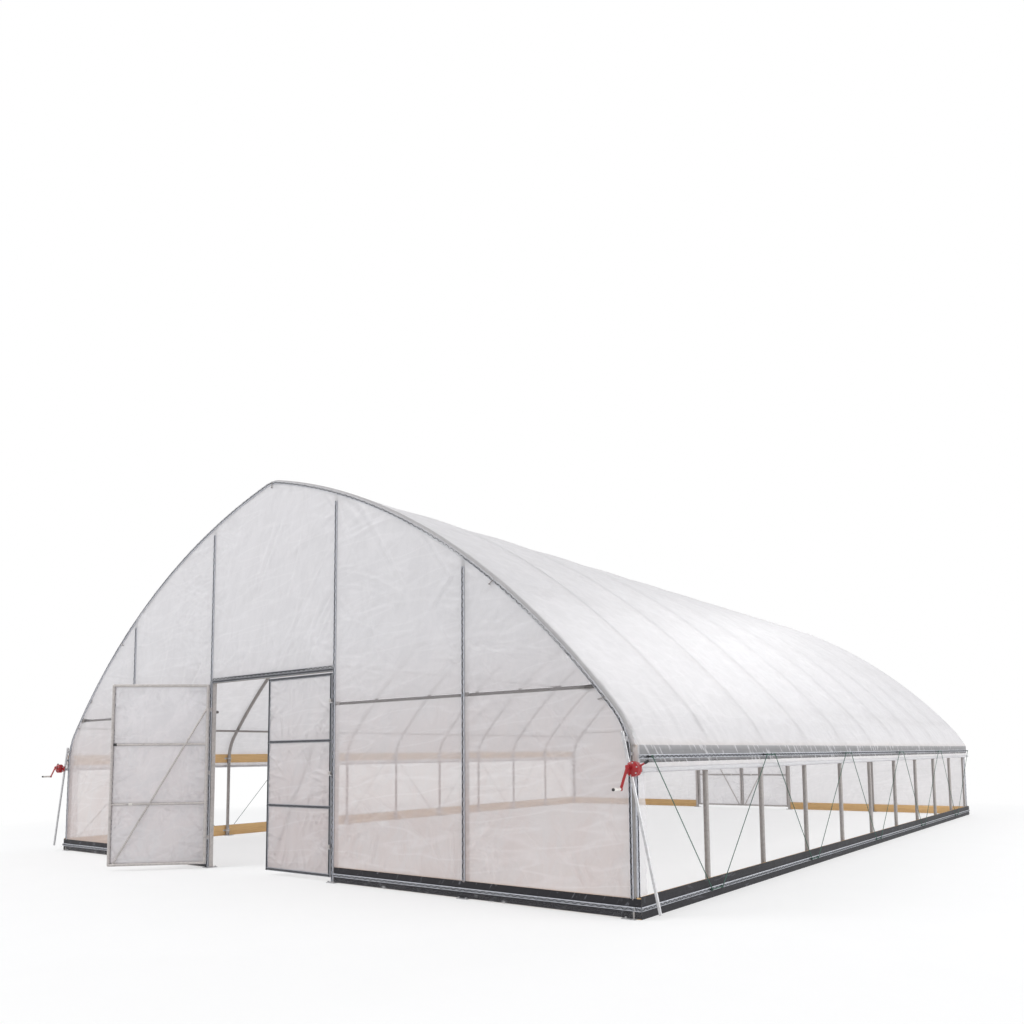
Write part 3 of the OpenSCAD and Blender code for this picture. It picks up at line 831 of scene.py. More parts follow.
def grown(source, tree, values, name):
    """The plain mesh that a Geometry Nodes tree makes from a helper object, which is then removed."""
    if tree not in TREES:
        TREES[tree] = {"wire": wire_tree, "rope": rope_tree, "scatter": scatter_tree}[tree]()
    group = TREES[tree]
    modifier = source.modifiers.new(tree, "NODES")
    modifier.node_group = group
    for item in group.interface.items_tree:
        if item.in_out == "INPUT" and item.name in values:
            modifier[item.identifier] = values[item.name]
    bpy.context.view_layer.update()
    evaluated = source.evaluated_get(bpy.context.evaluated_depsgraph_get())
    mesh = bpy.data.meshes.new_from_object(evaluated)
    source.modifiers.remove(modifier)
    bpy.data.objects.remove(source)
    mesh.name = name
    mesh.polygons.foreach_set("use_smooth", np.ones(len(mesh.polygons), bool))
    return linked(name, mesh)


def joined(name, things):
    """Several objects as one, keeping the first one's name and materials."""
    first = things[0]
    if len(things) > 1:
        with bpy.context.temp_override(
            active_object=first, object=first, selected_objects=things, selected_editable_objects=things
        ):
            bpy.ops.object.join()
    first.name = name
    first.data.name = name
    return first


def spring_wire(name, runs, body="root"):
    """Spring wire in every run of channel. A run is its line and the direction out of the channel."""
    look = sizes()
    made = []
    for line, out in runs:
        source = mesh_object("wire_line", line)
        values = {"Pitch": look.wire_pitch, "Swing": LOCK_W * 0.23, "Radius": look.wire_radius}
        values |= {"Out": tuple(out), "Material": finish("wire")}
        made.append(grown(source, "wire", values, "wire_run"))
    return place(joined(name, made), body)


def fixings(name, spots, part):
    """The same small zinc part at every spot, each a point and a direction, as one joined piece."""
    source = mesh_object("spots", [p for p, _ in spots])
    layer = source.data.attributes.new("out", "FLOAT_VECTOR", "POINT")
    layer.data.foreach_set("vector", np.array([d for _, d in spots], np.float32).ravel())
    shape = Shape().add(part)
    helper = mesh_object("fixing", np.vstack(shape.points), [f for group in shape.faces for f in group])
    thing = grown(source, "scatter", {"Part": helper, "Material": finish("zinc")}, name)
    bpy.data.objects.remove(helper)
    thing.data.set_sharp_from_angle(angle=math.radians(30))
    return place(thing, "root")


def bolt_part(radius, high):
    """Hexagon head on a washer, standing up from its seat."""
    rim = radius * 0.88
    washer = [(0, 0), (radius * 1.5, 0), (radius * 1.5, 0.002), (0, 0.002)]
    head = [(0, 0.002), (radius, 0.002), (radius, high - radius * 0.12), (rim, high), (0, high)]
    shape = Shape().add(turned(washer, (0, 0, 0), UP, 14)).add(turned(head, (0, 0, 0), UP, 6))
    return np.vstack(shape.points), shape.faces


# ---- Channels ----

LIPPED = np.array(
    [(-0.50, 0), (0.50, 0), (0.50, 0.55), (0.41, 1), (0.33, 1), (0.42, 0.5), (0.42, 0.16)]
    + [(-0.42, 0.16), (-0.42, 0.5), (-0.33, 1), (-0.41, 1), (-0.50, 0.55)]
)
HOLLOW = slice(2, 7)
WIRE_UP = 0.0088


def add_channel(shape, line, out, width=LOCK_W, depth=LOCK_T, matrix=None):
    """A lipped channel along a line that runs on its back face. Its hollow is of the second kind."""
    points, (sides, start, end) = sweep(line, out, LIPPED[::-1] * [width, depth])
    sides = sides.reshape(-1, len(LIPPED), 4)
    hollow = sides[:, HOLLOW].reshape(-1, 4)
    outer = np.delete(sides, HOLLOW, axis=1).reshape(-1, 4)
    shape.add((points, [outer, hollow, start, end]), matrix, [0, 1, 0, 0])


def straight(a, b, pieces=1):
    return np.linspace(a, b, pieces + 1)


def lifted(line, out, depth):
    return np.asarray(line, float) + np.asarray(out, float) * depth


def end_runs(y0, s):
    """Back-face lines of the channels on an end wall: arch, uprights, header and base."""
    y = y0 + s * FILM_OUT
    arch = whole_arch(np.vstack([[[HALF - ARCH_LOCK_IN, SKIRT_TOP]], arch_half(-ARCH_LOCK_IN, step=0.06)]))
    runs = {"arch": [np.column_stack([arch[:, 0], np.full(len(arch), y), arch[:, 1]])]}
    runs |= {"upright": [], "header": [], "base": []}
    for side in SIDES:
        for x, foot in ((JAMB_X, 0.012), (POST_X, SKIRT_TOP)):
            top = arch_height(x + LOCK_W / 2) - 0.09
            runs["upright"].append(straight((side * x, y, foot), (side * x, y, top)))
        near, far = (side * x for x in (JAMB_X + POST_D / 2, BAND_X))
        runs["base"].append(straight((near, y + s * SKIN, BASE_LOCK_Z), (far, y + s * SKIN, BASE_LOCK_Z)))
    reach = JAMB_X - LOCK_W / 2
    for z in (HEADER[0].z + 0.015, HEADER[0].z + 0.045):
        runs["header"].append(straight((-reach, y, z), (reach, y, z)))
    return runs


# ---- Operators ----


class Piece:
    """What the operators share."""

    bl_options = {"REGISTER"}

    def execute(self, context):
        self.build()
        return {"FINISHED"}


class TUNNEL_OT_frame(Piece, bpy.types.Operator):
    """Finish the steel frame and add its clamps, collars and bolts"""

    bl_idname = "tunnel.steel_frame"
    bl_label = "Steel frame"

    def build(self):
        dress("tube", "hoop_legs", "eave_bends", "rafters_left", "rafters_right", "ridge_bends")
        dress("tube", "side_purlins", "ridge_purlin", "outer_posts", "door_headers")
        # The jamb posts take the lighter copy of the steel colour, painted light.
        dress("leaf_tube", "jamb_posts")
        # The cross rails take a darker copy of the steel colour, painted shade.
        dress("rail", "cross_rails")
        dress("zinc", "leg_foot_plates", "post_foot_plates", "hinge_pins")
        dress("pole", "guide_poles")
        self.clamps()
        self.bolts()

    def clamps(self):
        """Clamps where purlins pass under hoops, collars round the legs and cups at the rails' ends."""
        shape = Shape()
        crossings = [(0.0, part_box("ridge_purlin")[0].z + RAIL_R)]
        for pitch in PURLIN_PITCHES:
            x, z = on_circle(RAFTER_C, RAFTER_R - 0.040, math.radians(pitch))[0]
            crossings += [(x, z), (-x, z)]
        half = Vector((0, 0.046, 0))
        for x, z in crossings:
            up = (Vector((x, 0, z)) - Vector((0, 0, 0.6))).normalized() if x else Vector(UP)
            for y in HOOPS:
                centre = Vector((x, y, z))
                for dy in (-0.036, 0.036):
                    foot = centre + Vector((0, dy, 0)) + up * 0.006
                    shape.add(rod(foot - up * 0.03, foot + up * 0.044, 0.004, 6))
                shape.add(rod(centre - half - up * 0.019, centre + half - up * 0.019, 0.0045, 6))
        strap = TUBE / 2 + 0.0022
        for y in HOOPS:
            for side in SIDES:
                for r, high, lip, z in (
                    (strap, 0.10, 0.102, LEG_TOP - 0.05),
                    (strap + 0.003, 0.05, 0.056, PLATE_T),
                ):
                    collar = [(0, 0), (r, 0), (r, high), (TUBE / 2, lip), (0, lip)]
                    shape.add(turned(collar, (side * HALF, y, z), UP, 20))
        # The cups at the rails' ends are of the second kind, a darker copy of the steel colour: painted
        # shade.
        low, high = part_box("cross_rails")
        cup = [(0, 0), (0.0170, 0), (0.0185, 0.035), (0.0235, 0.095), (0.0235, 0.125), (0, 0.125)]
        for y in (low.y + RAIL_R, high.y - RAIL_R):
            for side in SIDES:
                shape.add(turned(cup, (side * (high.x - 0.175), y, RAIL_Z), (side, 0, 0), 18), kind=1)
        shape.build("tube_joints", ["tube", "clamp"], slot="steel_tube")

    def bolts(self):
        """Bolts on the foot plates and through the legs."""
        spots = []
        for y in HOOPS:
            for side in SIDES:
                for dy in (-0.035, 0.035):
                    spots.append(((side * (LEG_X - 0.09), y + dy, PLATE_T), UP))
                for z in (0.05, 0.11, LEG_TOP - 0.03):
                    spots.append(((side * (HALF - TUBE / 2 - 0.001), y, z), (-side, 0, 0)))
        around = (-0.043, 0.043)
        for y, _ in ENDS:
            for side in SIDES:
                for x in (JAMB_X, POST_X):
                    spots += [((side * x + dx, y + dy, PLATE_T), UP) for dx in around for dy in around]
        fixings("frame_bolts", spots, bolt_part(0.0085, 0.010))


class TUNNEL_OT_boards(Piece, bpy.types.Operator):
    """Make the base and hip boards, with their joints, screws and pipe straps"""

    bl_idname = "tunnel.boards"
    bl_label = "Boards"

    def build(self):
        joints = [FACE_FRONT, *HOOPS[3::3], FACE_BACK]
        levels = {"base_boards": (0.0, BASE_TOP), "hip_rails": (HIP_Z, HIP_TOP)}
        screws = []
        for (name, (low, high)), node in zip(levels.items(), ("side_baseboards", "hip_boards")):
            shape = Shape()
            for side in SIDES:
                x0, x1 = sorted((side * LEG_X, side * BOARD_X))
                for a, b in zip(joints, joints[1:]):
                    shape.add(block((x0, a + 0.001, low), (x1, b - 0.001, high), 0.004, 2))
                for y in HOOPS:
                    for z in (low + 0.035, high - 0.035):
                        screws.append(((side * (LEG_X - 0.0005), y + 0.045, z), (-side, 0, 0)))
            shape.build(name, ["pine_long"], slot="timber", stands_for=[node])
        shape = Shape()
        spans = ((JAMB_X + POST_D / 2, POST_X - POST_D / 2), (POST_X + POST_D / 2, HALF - TUBE / 2))
        for y0, s in ENDS:
            ya, yb = sorted((y0 + s * TUBE / 2, y0 - s * (BOARD_T - TUBE / 2)))
            for side in SIDES:
                for span in spans:
                    xa, xb = sorted(side * x for x in span)
                    shape.add(block((xa, ya, 0.006), (xb, yb, SKIRT_TOP), 0.004, 2))
        shape.build("end_boards", ["pine_cross"], slot="timber", stands_for=["end_baseboards"])
        self.straps(levels.values())
        fixings("board_screws", screws, bolt_part(0.005, 0.006))

    def straps(self, levels):
        """A bent strap round every leg at each board."""
        shape = Shape()
        section = [(-0.0012, -0.012), (0.0012, -0.012), (0.0012, 0.012), (-0.0012, 0.012)]
        turn, r = np.linspace(-math.pi / 2, math.pi / 2, 9), TUBE / 2 + 0.0022
        for side in SIDES:
            for y in HOOPS:
                for low, high in levels:
                    z = (low + high) / 2
                    line = [(side * LEG_X, y - 0.062, z), (side * (LEG_X - 0.001), y - 0.027, z)]
                    line += [(side * (HALF - r * math.cos(a)), y + r * math.sin(a), z) for a in turn]
                    line += [(side * (LEG_X - 0.001), y + 0.027, z), (side * LEG_X, y + 0.062, z)]
                    shape.add(sweep(line, UP, section))
        shape.build("pipe_straps", ["zinc"], slot="zinc_hardware")


class TUNNEL_OT_roof(Piece, bpy.types.Operator):
    """Stretch the roof film over the hoops and down over the hip boards"""

    bl_idname = "tunnel.roof_film"
    bl_label = "Roof film"

    def outline(self):
        """The film's line across the tunnel from hip to hip, and its normals."""
        reach = np.array([LAP_X, HIP_TOP]) - BEND_C
        lean = math.acos((BEND_R + ROOF_OFF) / np.linalg.norm(reach))
        low = math.pi / 2 - (math.atan2(reach[1], reach[0]) + lean)
        over = np.vstack([[[LAP_X - 0.004, HIP_TOP + 0.003]], arch_half(ROOF_OFF, low, 0.07)])
        hem = straight((LAP_X - 0.001, HIP_Z - 0.004), (LAP_X - 0.001, HIP_TOP - 0.004), 4)
        line = whole_arch(np.vstack([hem, resample(over, 0.05)]))
        along = np.gradient(line, axis=0)
        normal = np.stack([along[:, 1], -along[:, 0]], -1)
        return line, normal / np.linalg.norm(normal, axis=1)[:, None]

    def creases(self, rng, flat, total):
        """Folds from the hips and the ends, and loose ones between."""
        n = 150
        hips = np.where(rng.random(n) < 0.5, 0.14, total - 0.14)
        away = np.where(hips < 1, 1, -1)
        lift = folds(
            rng, flat, rng.uniform(FRONT, BACK, n), hips,
            away * (np.pi / 2 + rng.normal(0, 0.30, n)), rng.uniform(0.25, 1.0, n), 0.0045, 0.024,
        )
        n = 120
        ends = rng.random(n) < 0.5
        lift += folds(
            rng, flat, np.where(ends, FRONT, BACK), rng.uniform(0.3, total - 0.3, n),
            np.where(ends, 0, np.pi) + rng.normal(0, 0.5, n), rng.uniform(0.15, 0.8, n), 0.0035, 0.022,
        )
        n = 110
        return lift + folds(
            rng, flat, rng.uniform(FRONT, BACK, n), rng.uniform(0.5, total - 0.5, n),
            rng.uniform(0, 6.28, n), rng.uniform(0.5, 1.8, n), 0.003, 0.03,
        )

    def end_strip(self, rng, line, normal, around, y0, s):
        """The film's edge over an end: round the arch tube, or turned in behind the hip. It runs outwards."""
        hold = 1 - smooth(HIP_TOP + 0.22 - line[:, 1], 0, 0.15)
        pinch = 0.0022 * np.sin(2 * np.pi * around / sizes().wire_pitch)
        pinch = pinch + 0.0015 * rng.normal(0, 1, len(line))
        strip = []
        for k, (drop, ahead) in enumerate(ROOF_EDGE):
            wobble = pinch * (0.3 if k < 6 else 1.0)
            turn_in = (LEG_X - 0.004 - LAP_X) * max(0, k - 1) / (len(ROOF_EDGE) - 2)
            down = drop * hold + turn_in * (1 - hold) + wobble * 0.6 * hold
            ahead = ahead * hold + (TUBE / 2 + 0.0035 + 0.001 * min(k, 2)) * (1 - hold)
            x, z = (line + normal * down[:, None]).T
            strip.append(np.column_stack([x, y0 + s * (ahead + np.abs(wobble) * 0.7), z]))
        return np.stack(strip, 1)

    def build(self):
        rng = np.random.default_rng(7)
        line, normal = self.outline()
        around = np.r_[0, np.cumsum(np.linalg.norm(np.diff(line, axis=0), axis=1))]
        from_hip = np.minimum(around, around[-1] - around)[:, None]
        run = np.linspace(FRONT, BACK, BAYS * 30 + 1)
        bay = (run - FRONT) / BAY
        to_hoop = np.abs(bay - np.round(bay)) * BAY
        dip = np.sin(np.pi * (bay % 1.0)) ** 1.2
        span = smooth(from_hip, 0.25, 1.1)
        *_, flat = table(run, around)
        lift = self.creases(rng, flat, around[-1]).reshape(len(line), len(run))
        lift = lift * (1 - 0.85 * np.exp(-((to_hoop / 0.05) ** 2))) * smooth(from_hip, 0.10, 0.25)
        lift = lift - sizes().film_sag * dip * span + np.exp(-((to_hoop / 0.02) ** 2)) * 0.0006
        crinkle = np.abs(rumple(rng, flat, 0.06, 0.0012)).reshape(lift.shape)
        lift += (1 - smooth(from_hip, 0.10, 0.2)) * crinkle
        x, z = (line[:, k:k + 1] + normal[:, k:k + 1] * lift for k in (0, 1))
        strips = [self.end_strip(rng, line, normal, around, *end) for end in ENDS]
        middle = np.stack([x, np.broadcast_to(run, x.shape), z], -1)
        points = np.concatenate([strips[0][:, ::-1], middle, strips[1]], 1)
        lap = smooth(from_hip, 0.128, 0.145)
        to_end = np.minimum(run - FRONT, BACK - run)
        milk = 0.52 + 0.48 * lap - 0.30 * (1 - smooth(from_hip, 0.028, 0.034))
        milk = milk * (1 - 0.34 * (lap * np.exp(-((to_end / 0.026) ** 4))))
        milk += 0.16 * np.exp(-((to_hoop / 0.03) ** 2)) * span
        edge = np.repeat(1 - 0.38 * lap, len(ROOF_EDGE), 1)
        milk = np.concatenate([edge, milk, edge], 1)
        sheet = Shape().add(grid(points)).film("roof_sheet", "roof_film", ["roof_film"], [milk])


class TUNNEL_OT_end_film(Piece, bpy.types.Operator):
    """Stretch the film of both end walls between the channels"""

    bl_idname = "tunnel.end_film"
    bl_label = "End film"

    def build(self):
        self.wall("front_sheet", "front_film", "end_film", *ENDS[0], 11, 0.0185)
        self.wall("back_sheet", "back_film", "back_film", *ENDS[1], 23, 0.03)

    def wall(self, name, node, film, y0, s, seed, step):
        rng = np.random.default_rng(seed)
        shape, milks, area = Shape(), [], 0.0
        stops = (-HALF, -POST_X, -JAMB_X, JAMB_X, POST_X, HALF)
        for x0, x1 in zip(stops, stops[1:]):
            door = x0 == -JAMB_X
            foot = HEADER[0].z + 0.030 if door else SKIRT_TOP - 0.010
            x = np.linspace(x0, x1, max(3, round((x1 - x0) / step)) + 1)
            top = arch_height(np.clip(x, -HALF + 0.001, HALF - 0.001), -0.004)
            top[np.abs(np.abs(x) - HALF) < 1e-6] = LEG_TOP
            rows = max(4, round((top.max() - foot) / step)) + 1
            z = foot + np.linspace(0, 1, rows)[:, None] * (top - foot)
            x = np.broadcast_to(x, z.shape)
            flat = np.stack([x.ravel(), z.ravel()], -1)
            lift = self.creases(rng, flat, x0, x1, foot, door).reshape(z.shape)
            to_edge = np.minimum(np.minimum(x - x0, x1 - x), top - z)
            hold = smooth(np.minimum(to_edge, z - foot), 0.012, 0.07)
            rail = np.exp(-(((z - RAIL_Z) / 0.03) ** 2)) * (0 if door else 1)
            lift = lift * hold * (1 - 0.5 * rail) + 0.0009
            near = np.minimum(to_edge, z - foot) if door else to_edge
            lip = smooth(0.018 - near, 0.0, 0.004) * 0.0125
            dipped = smooth(0.0105 - near, 0.0, 0.003) * 0.008
            wavy = 0.0012 * np.sin(2 * np.pi * (x + z) / sizes().wire_pitch) * (near < 0.012)
            out = FILM_OUT - 0.0012 + lift + np.where(near < 0.018, lip - dipped + wavy, 0)
            milk = 1 + np.clip(lift / 0.006, -0.4, 1.0) * 0.08
            milk = milk + 0.17 * smooth(z, 1.65, 2.35) - 0.10 * smooth(-z, -1.7, -1.1)
            if not door:
                milk = milk * (1 - 0.75 * self.pressed(x, z))
            shape.add(grid(np.stack([x, y0 + s * out, z], -1), s < 0))
            milks.append(milk[:, ::s])
            area += float(np.sum((top[1:] + top[:-1]) / 2 - foot) * (x[0, 1] - x[0, 0]))
        piece = shape.film(name, film, [node], milks)
        float(arch_height(0.0))

    def pressed(self, x, z):
        """How closely the film lies on the rails' ends and on the purlins' ends."""
        share = np.zeros(z.shape)
        for cx, cz, wide, tall in (
            (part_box("cross_rails")[1].x - 0.105, RAIL_Z, 0.085, 0.034),
            (3.97, 2.03, 0.035, 0.035), (3.09, 2.83, 0.03, 0.03), (2.51, 3.26, 0.03, 0.03),
        ):
            apart = ((np.abs(x) - cx) / wide) ** 2 + ((z - cz) / tall) ** 2
            share = np.maximum(share, np.exp(-(apart ** 2)))
        return share

    def creases(self, rng, flat, x0, x1, foot, door):
        """Folds along the clamped edges, fans from the corners and long slanting tension folds."""
        deep = sizes().fold_depth
        high = float(arch_height((abs(x0) + abs(x1)) / 2))
        lift = np.zeros(len(flat))

        def add(xs, zs, angles, lengths, depth, width):
            lift[:] += folds(rng, flat, xs, zs, angles, lengths, deep * depth, width)

        n = round((high - foot) * 9)
        for x, way in ((x0, 0), (x1, np.pi)):
            zs = rng.uniform(foot, high, n)
            add(x, zs, way + rng.normal(0.1, 0.40, n), rng.uniform(0.10, 0.55, n), 0.55, 0.020)
        n = round((x1 - x0) * 10)
        lean = 1.15 if door else math.pi / 2
        add(rng.uniform(x0, x1, n), foot,
            lean + rng.normal(0, 0.30, n), rng.uniform(0.12, 0.7, n), 0.6, 0.022)
        n = 6
        for cx, cz, a0, a1 in (
            (x0, foot, 0.2, 1.4), (x1, foot, 1.75, 2.95),
            (x0, HEADER[1].z, -0.9, 0.9), (x1, HEADER[1].z, 2.3, 4.0),
            (x0, float(arch_height(x0)) - 0.1, -1.3, 0.1), (x1, float(arch_height(x1)) - 0.1, 3.0, 4.4),
        ):
            starts = np.array([cx, cz]) + rng.normal(0, 0.10, (n, 2))
            add(*starts.T, np.linspace(a0, a1, n) + rng.normal(0, 0.2, n),
                rng.uniform(0.3, 1.1, n), 0.42, 0.022)
        n = 9 if door else 12
        lean = 1.1 if (door or x0 < 0) else 2.3
        add(rng.uniform(x0 - 0.3, x1, n), rng.uniform(foot, high - 0.6, n),
            lean + rng.normal(0, 0.14, n), rng.uniform(0.7, 1.8, n), 0.7, 0.028)
        if door:
            n = 30
            add(rng.uniform(x0 * 0.2, x1, n), foot,
                1.0 + rng.normal(0, 0.06, n), rng.uniform(0.7, 1.5, n), 0.55, 0.018)
        else:
            n = 64
            lean = rng.normal(0.03, 0.10, n) + np.where(rng.random(n) < 0.3, 0.6, 0)
            inner, angles = (x0, lean) if x0 > 0 else (x1, np.pi - lean)
            add(inner, rng.uniform(foot, high, n), angles, rng.uniform(0.4, 1.6, n), 0.5, 0.016)
        return lift + rumple(rng, flat, 0.9, 0.0016)


class TUNNEL_OT_channels(Piece, bpy.types.Operator):
    """Make the wire-lock channels and the spring wire in them"""

    bl_idname = "tunnel.channels"
    bl_label = "Channels and spring wire"

    def build(self):
        groups = {kind: Shape() for kind in ("arch", "upright", "header", "base", "hip")}
        wires = {"front_wires": [], "back_wires": [], "side_wires": []}

        def fit(kind, wire, line, out, width=LOCK_W):
            add_channel(groups[kind], line, out, width)
            wires[wire].append((lifted(line, out, WIRE_UP), out))

        for (y0, s), wire in zip(ENDS, ("front_wires", "back_wires")):
            for kind, lines in end_runs(y0, s).items():
                width = ARCH_LOCK_W if kind in ("header", "arch") else LOCK_W
                for line in lines:
                    fit(kind, wire, line, (0, s, 0), width)
        for side in SIDES:
            out = (side, 0, 0)
            for kind, x, z in (("hip", LAP_X, HIP_LOCK_Z), ("base", BAND_X, BASE_LOCK_Z)):
                fit(kind, "side_wires", straight((side * x, FACE_FRONT, z), (side * x, FACE_BACK, z)), out)
            x = side * (LEG_X + SKIN)
            for y, _ in ENDS:
                fit("upright", "side_wires", straight((x, y, BASE_TOP), (x, y, HIP_Z)), out)
        # Lips of the base, hip, arch and upright channels take lighter copies of the channel colour, painted
        # light; the header's hollow takes a darker one, painted shade.
        bright = ["base_lock", "arch_hollow"]
        skins = {"arch": ["arch_lock", "arch_hollow"], "upright": ["arch_lock", "arch_lock"]}
        skins |= {"header": ["lock", "hollow"], "base": bright, "hip": bright}
        for kind, shape in groups.items():
            shape.build(kind + "_locks", skins[kind], "root", "lock_channel", [kind + "_channels"], sharp=25)
        for name, runs in wires.items():
            spring_wire(name, runs)


class TUNNEL_OT_covers(Piece, bpy.types.Operator):
    """Make the dark skirts and hip bands, the corner strips and the loose foot of the end film"""

    bl_idname = "tunnel.covers"
    bl_label = "Covers and loose film"

    def strip(self, rng, a, b, low, high, out, depth, step=0.022):
        """An upright strip from a to b with fine crinkles standing out from it."""
        a, b = np.array(a), np.array(b)
        long = np.linalg.norm(b - a)
        cols = max(2, round(long / step)) + 1
        rows = max(3, round((high - low) / step)) + 1
        u, v, flat = table(np.linspace(0, 1, cols), np.linspace(0, 1, rows))
        bumps = np.abs(rumple(rng, flat * [long, (high - low) * 0.6], 0.10, depth)) + 0.0006
        points = a + u[..., None] * (b - a) + bumps.reshape(rows, cols, 1) * np.array(out)
        points[..., 2] = low + v * (high - low)
        return points

    def build(self):
        rng = np.random.default_rng(41)
        sides, hips, ends = Shape(), Shape(), Shape()
        for side in SIDES:
            a, b = [(side * BOARD_X, y, 0) for y in (FACE_FRONT, FACE_BACK)][::side]
            skirt = self.strip(rng, a, b, 0.0, SKIRT_TOP, (side, 0, 0), 0.0012)
            over = skirt[[-1] * 3]
            over[..., 0] = side * (BOARD_X + np.array([[0.0014], [0.0006], [-0.022]]))
            over[..., 2] = BASE_TOP + np.array([[-0.001], [0.0012], [0.0014]])
            sides.add(grid(np.concatenate([skirt, over])))
            hips.add(grid(self.strip(rng, a, b, HIP_Z, HIP_TOP, (side, 0, 0), 0.0008, 0.03)))
            for y, s in ENDS:
                a, b = [(side * x, y + s * FILM_OUT, 0) for x in (JAMB_X + POST_D / 2, BAND_X)][::-side * s]
                ends.add(grid(self.strip(rng, a, b, 0.006, SKIRT_TOP, (0, s, 0), 0.0012)))
        length, across = 2 * (FACE_BACK - FACE_FRONT), 4 * (BAND_X - JAMB_X - POST_D / 2)
        for name, node, shape, skin, flat, board in (
            ("side_covers", "side_skirts", sides, "cover", (length, BASE_TOP + 0.022), "base_boards"),
            ("hip_covers", "hip_bands", hips, "cover", (length, HIP_TOP - HIP_Z), "hip_rails"),
            ("end_covers", "end_skirts", ends, "end_cover", (across, SKIRT_TOP), "end_boards"),
        ):
            piece = shape.build(name, [skin], slot="dark_film", stands_for=[node], sharp=180)
        self.corner_strips(rng)
        self.aprons(rng)

    def corner_strips(self, rng):
        """Film strips behind the corners: flat on the leg, loose at their free edge."""
        shape, milks = Shape(), []
        foot, top = (c.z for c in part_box("corner_flaps"))
        low, tall, reach, rows, cols = foot + 0.002, top - foot - 0.004, 0.150, 56, 14
        for side in SIDES:
            for y, s in ENDS:
                u, v, flat = table(np.linspace(0, 1, cols), np.linspace(0, 1, rows))
                ripple = np.abs(rumple(rng, flat * [reach * 0.5, tall], 0.11, 0.006)).reshape(rows, cols)
                lift = 0.0012 + ripple * smooth(u, 0.35, 1)
                edge = 1 + 0.05 * np.sin(9 * v + rng.uniform(0, 6)) * (u > 0.9)
                spots = [side * (LEG_X + lift), y + s * (TUBE / 2 - u * reach * edge), low + v * tall]
                shape.add(grid(np.stack(spots, -1), side * s > 0))
                milks.append(0.58 + 0.30 * smooth(lift, 0.002, 0.012))
        piece = shape.film("corner_strips", "roll_film", ["corner_flaps"], milks)

    def aprons(self, rng):
        """Loose foot of the end film: over the base channel, down and out on the ground."""
        x0, x1, rows = JAMB_X + POST_D / 2 + 0.01, BAND_X + 0.02, 10
        x = np.linspace(x0, x1, 190)
        for name, (y, s) in zip(("front_apron", "back_apron"), ENDS):
            shape, milks = Shape(), []
            for side in SIDES:
                _, t, flat = table(x, np.linspace(0, 1, rows))
                ripple = np.abs(rumple(rng, flat * [1.0, 0.08], 0.13, 0.010)).reshape(t.shape)
                flare = 0.006 + 0.06 * smooth(x, x1 - 0.5, x1) + 0.03 * (1 - smooth(x, x0, x0 + 0.25))
                out = FILM_OUT + SKIN + 0.011 + (t ** 1.6) * (flare + ripple) + 0.15 * ripple
                z = (BASE_LOCK_Z - 0.010) * (1 - np.minimum(t * 1.15, 1.0)) + 0.002 + 0.12 * ripple
                xs = side * (x + t ** 2 * 0.02 * smooth(x, x1 - 0.4, x1))
                shape.add(grid(np.stack([xs, y + s * out, z], -1), side * s < 0))
                # Almost clear film, milky only on its ripples' crests: painted glints on the crumpled foot.
                milks.append(0.02 + 0.55 * smooth(ripple, 0.009, 0.018))
            piece = shape.film(name, "roll_film", (), milks)


class TUNNEL_OT_rolls(Piece, bpy.types.Operator):
    """Make the rolled-up side film on its steel core, and what hangs to it from the hip board"""

    bl_idname = "tunnel.film_rolls"
    bl_label = "Film rolls"

    def build(self):
        rng = np.random.default_rng(5)
        rolls, hanging, cores = Shape(), Shape(), Shape()
        run = np.linspace(FACE_FRONT, FACE_BACK, round((FACE_BACK - FACE_FRONT) / 0.04) + 1)
        turns = np.linspace(0, 2 * math.pi, 17)[:-1]
        top = ROLL_Z + 0.006
        for side in SIDES:
            around, along = np.meshgrid(turns, run)
            flat = np.stack([along.ravel(), around.ravel() * 0.05], -1)
            radius = ROLL_R - 0.0018 + rumple(rng, flat, 0.12, 0.0018).reshape(around.shape)
            radius[[0, -1]] *= 0.9
            x = side * (ROLL_X + radius * np.cos(turns))
            rolls.add(closed(np.stack([x, along, ROLL_Z + radius * np.sin(turns)], -1), side > 0))
            along, t, flat = table(run, np.linspace(0, 1, 6))
            ripple = np.abs(rumple(rng, flat * [1, 0.06 * 0.3], 0.09, 0.0022)).reshape(t.shape)
            x = side * (BAND_X + 0.0015 + ripple + t * 0.004)
            hanging.add(grid(np.stack([x, along, top + (HIP_Z - top) * (1 - t)], -1), side < 0))
            cores.add(rod((side * ROLL_X, DRUM_Y, ROLL_Z), (side * ROLL_X, BACK + 0.04, ROLL_Z), 0.0125, 14))
        rolls.film("rolled_film", "roll_film", ["film_rolls"], [1.25], sharp=60)
        drop = hanging.film("hanging_film", "roll_film", (), [1.25], sharp=60)
        cores.build("roll_cores", ["zinc"], slot="zinc_hardware")


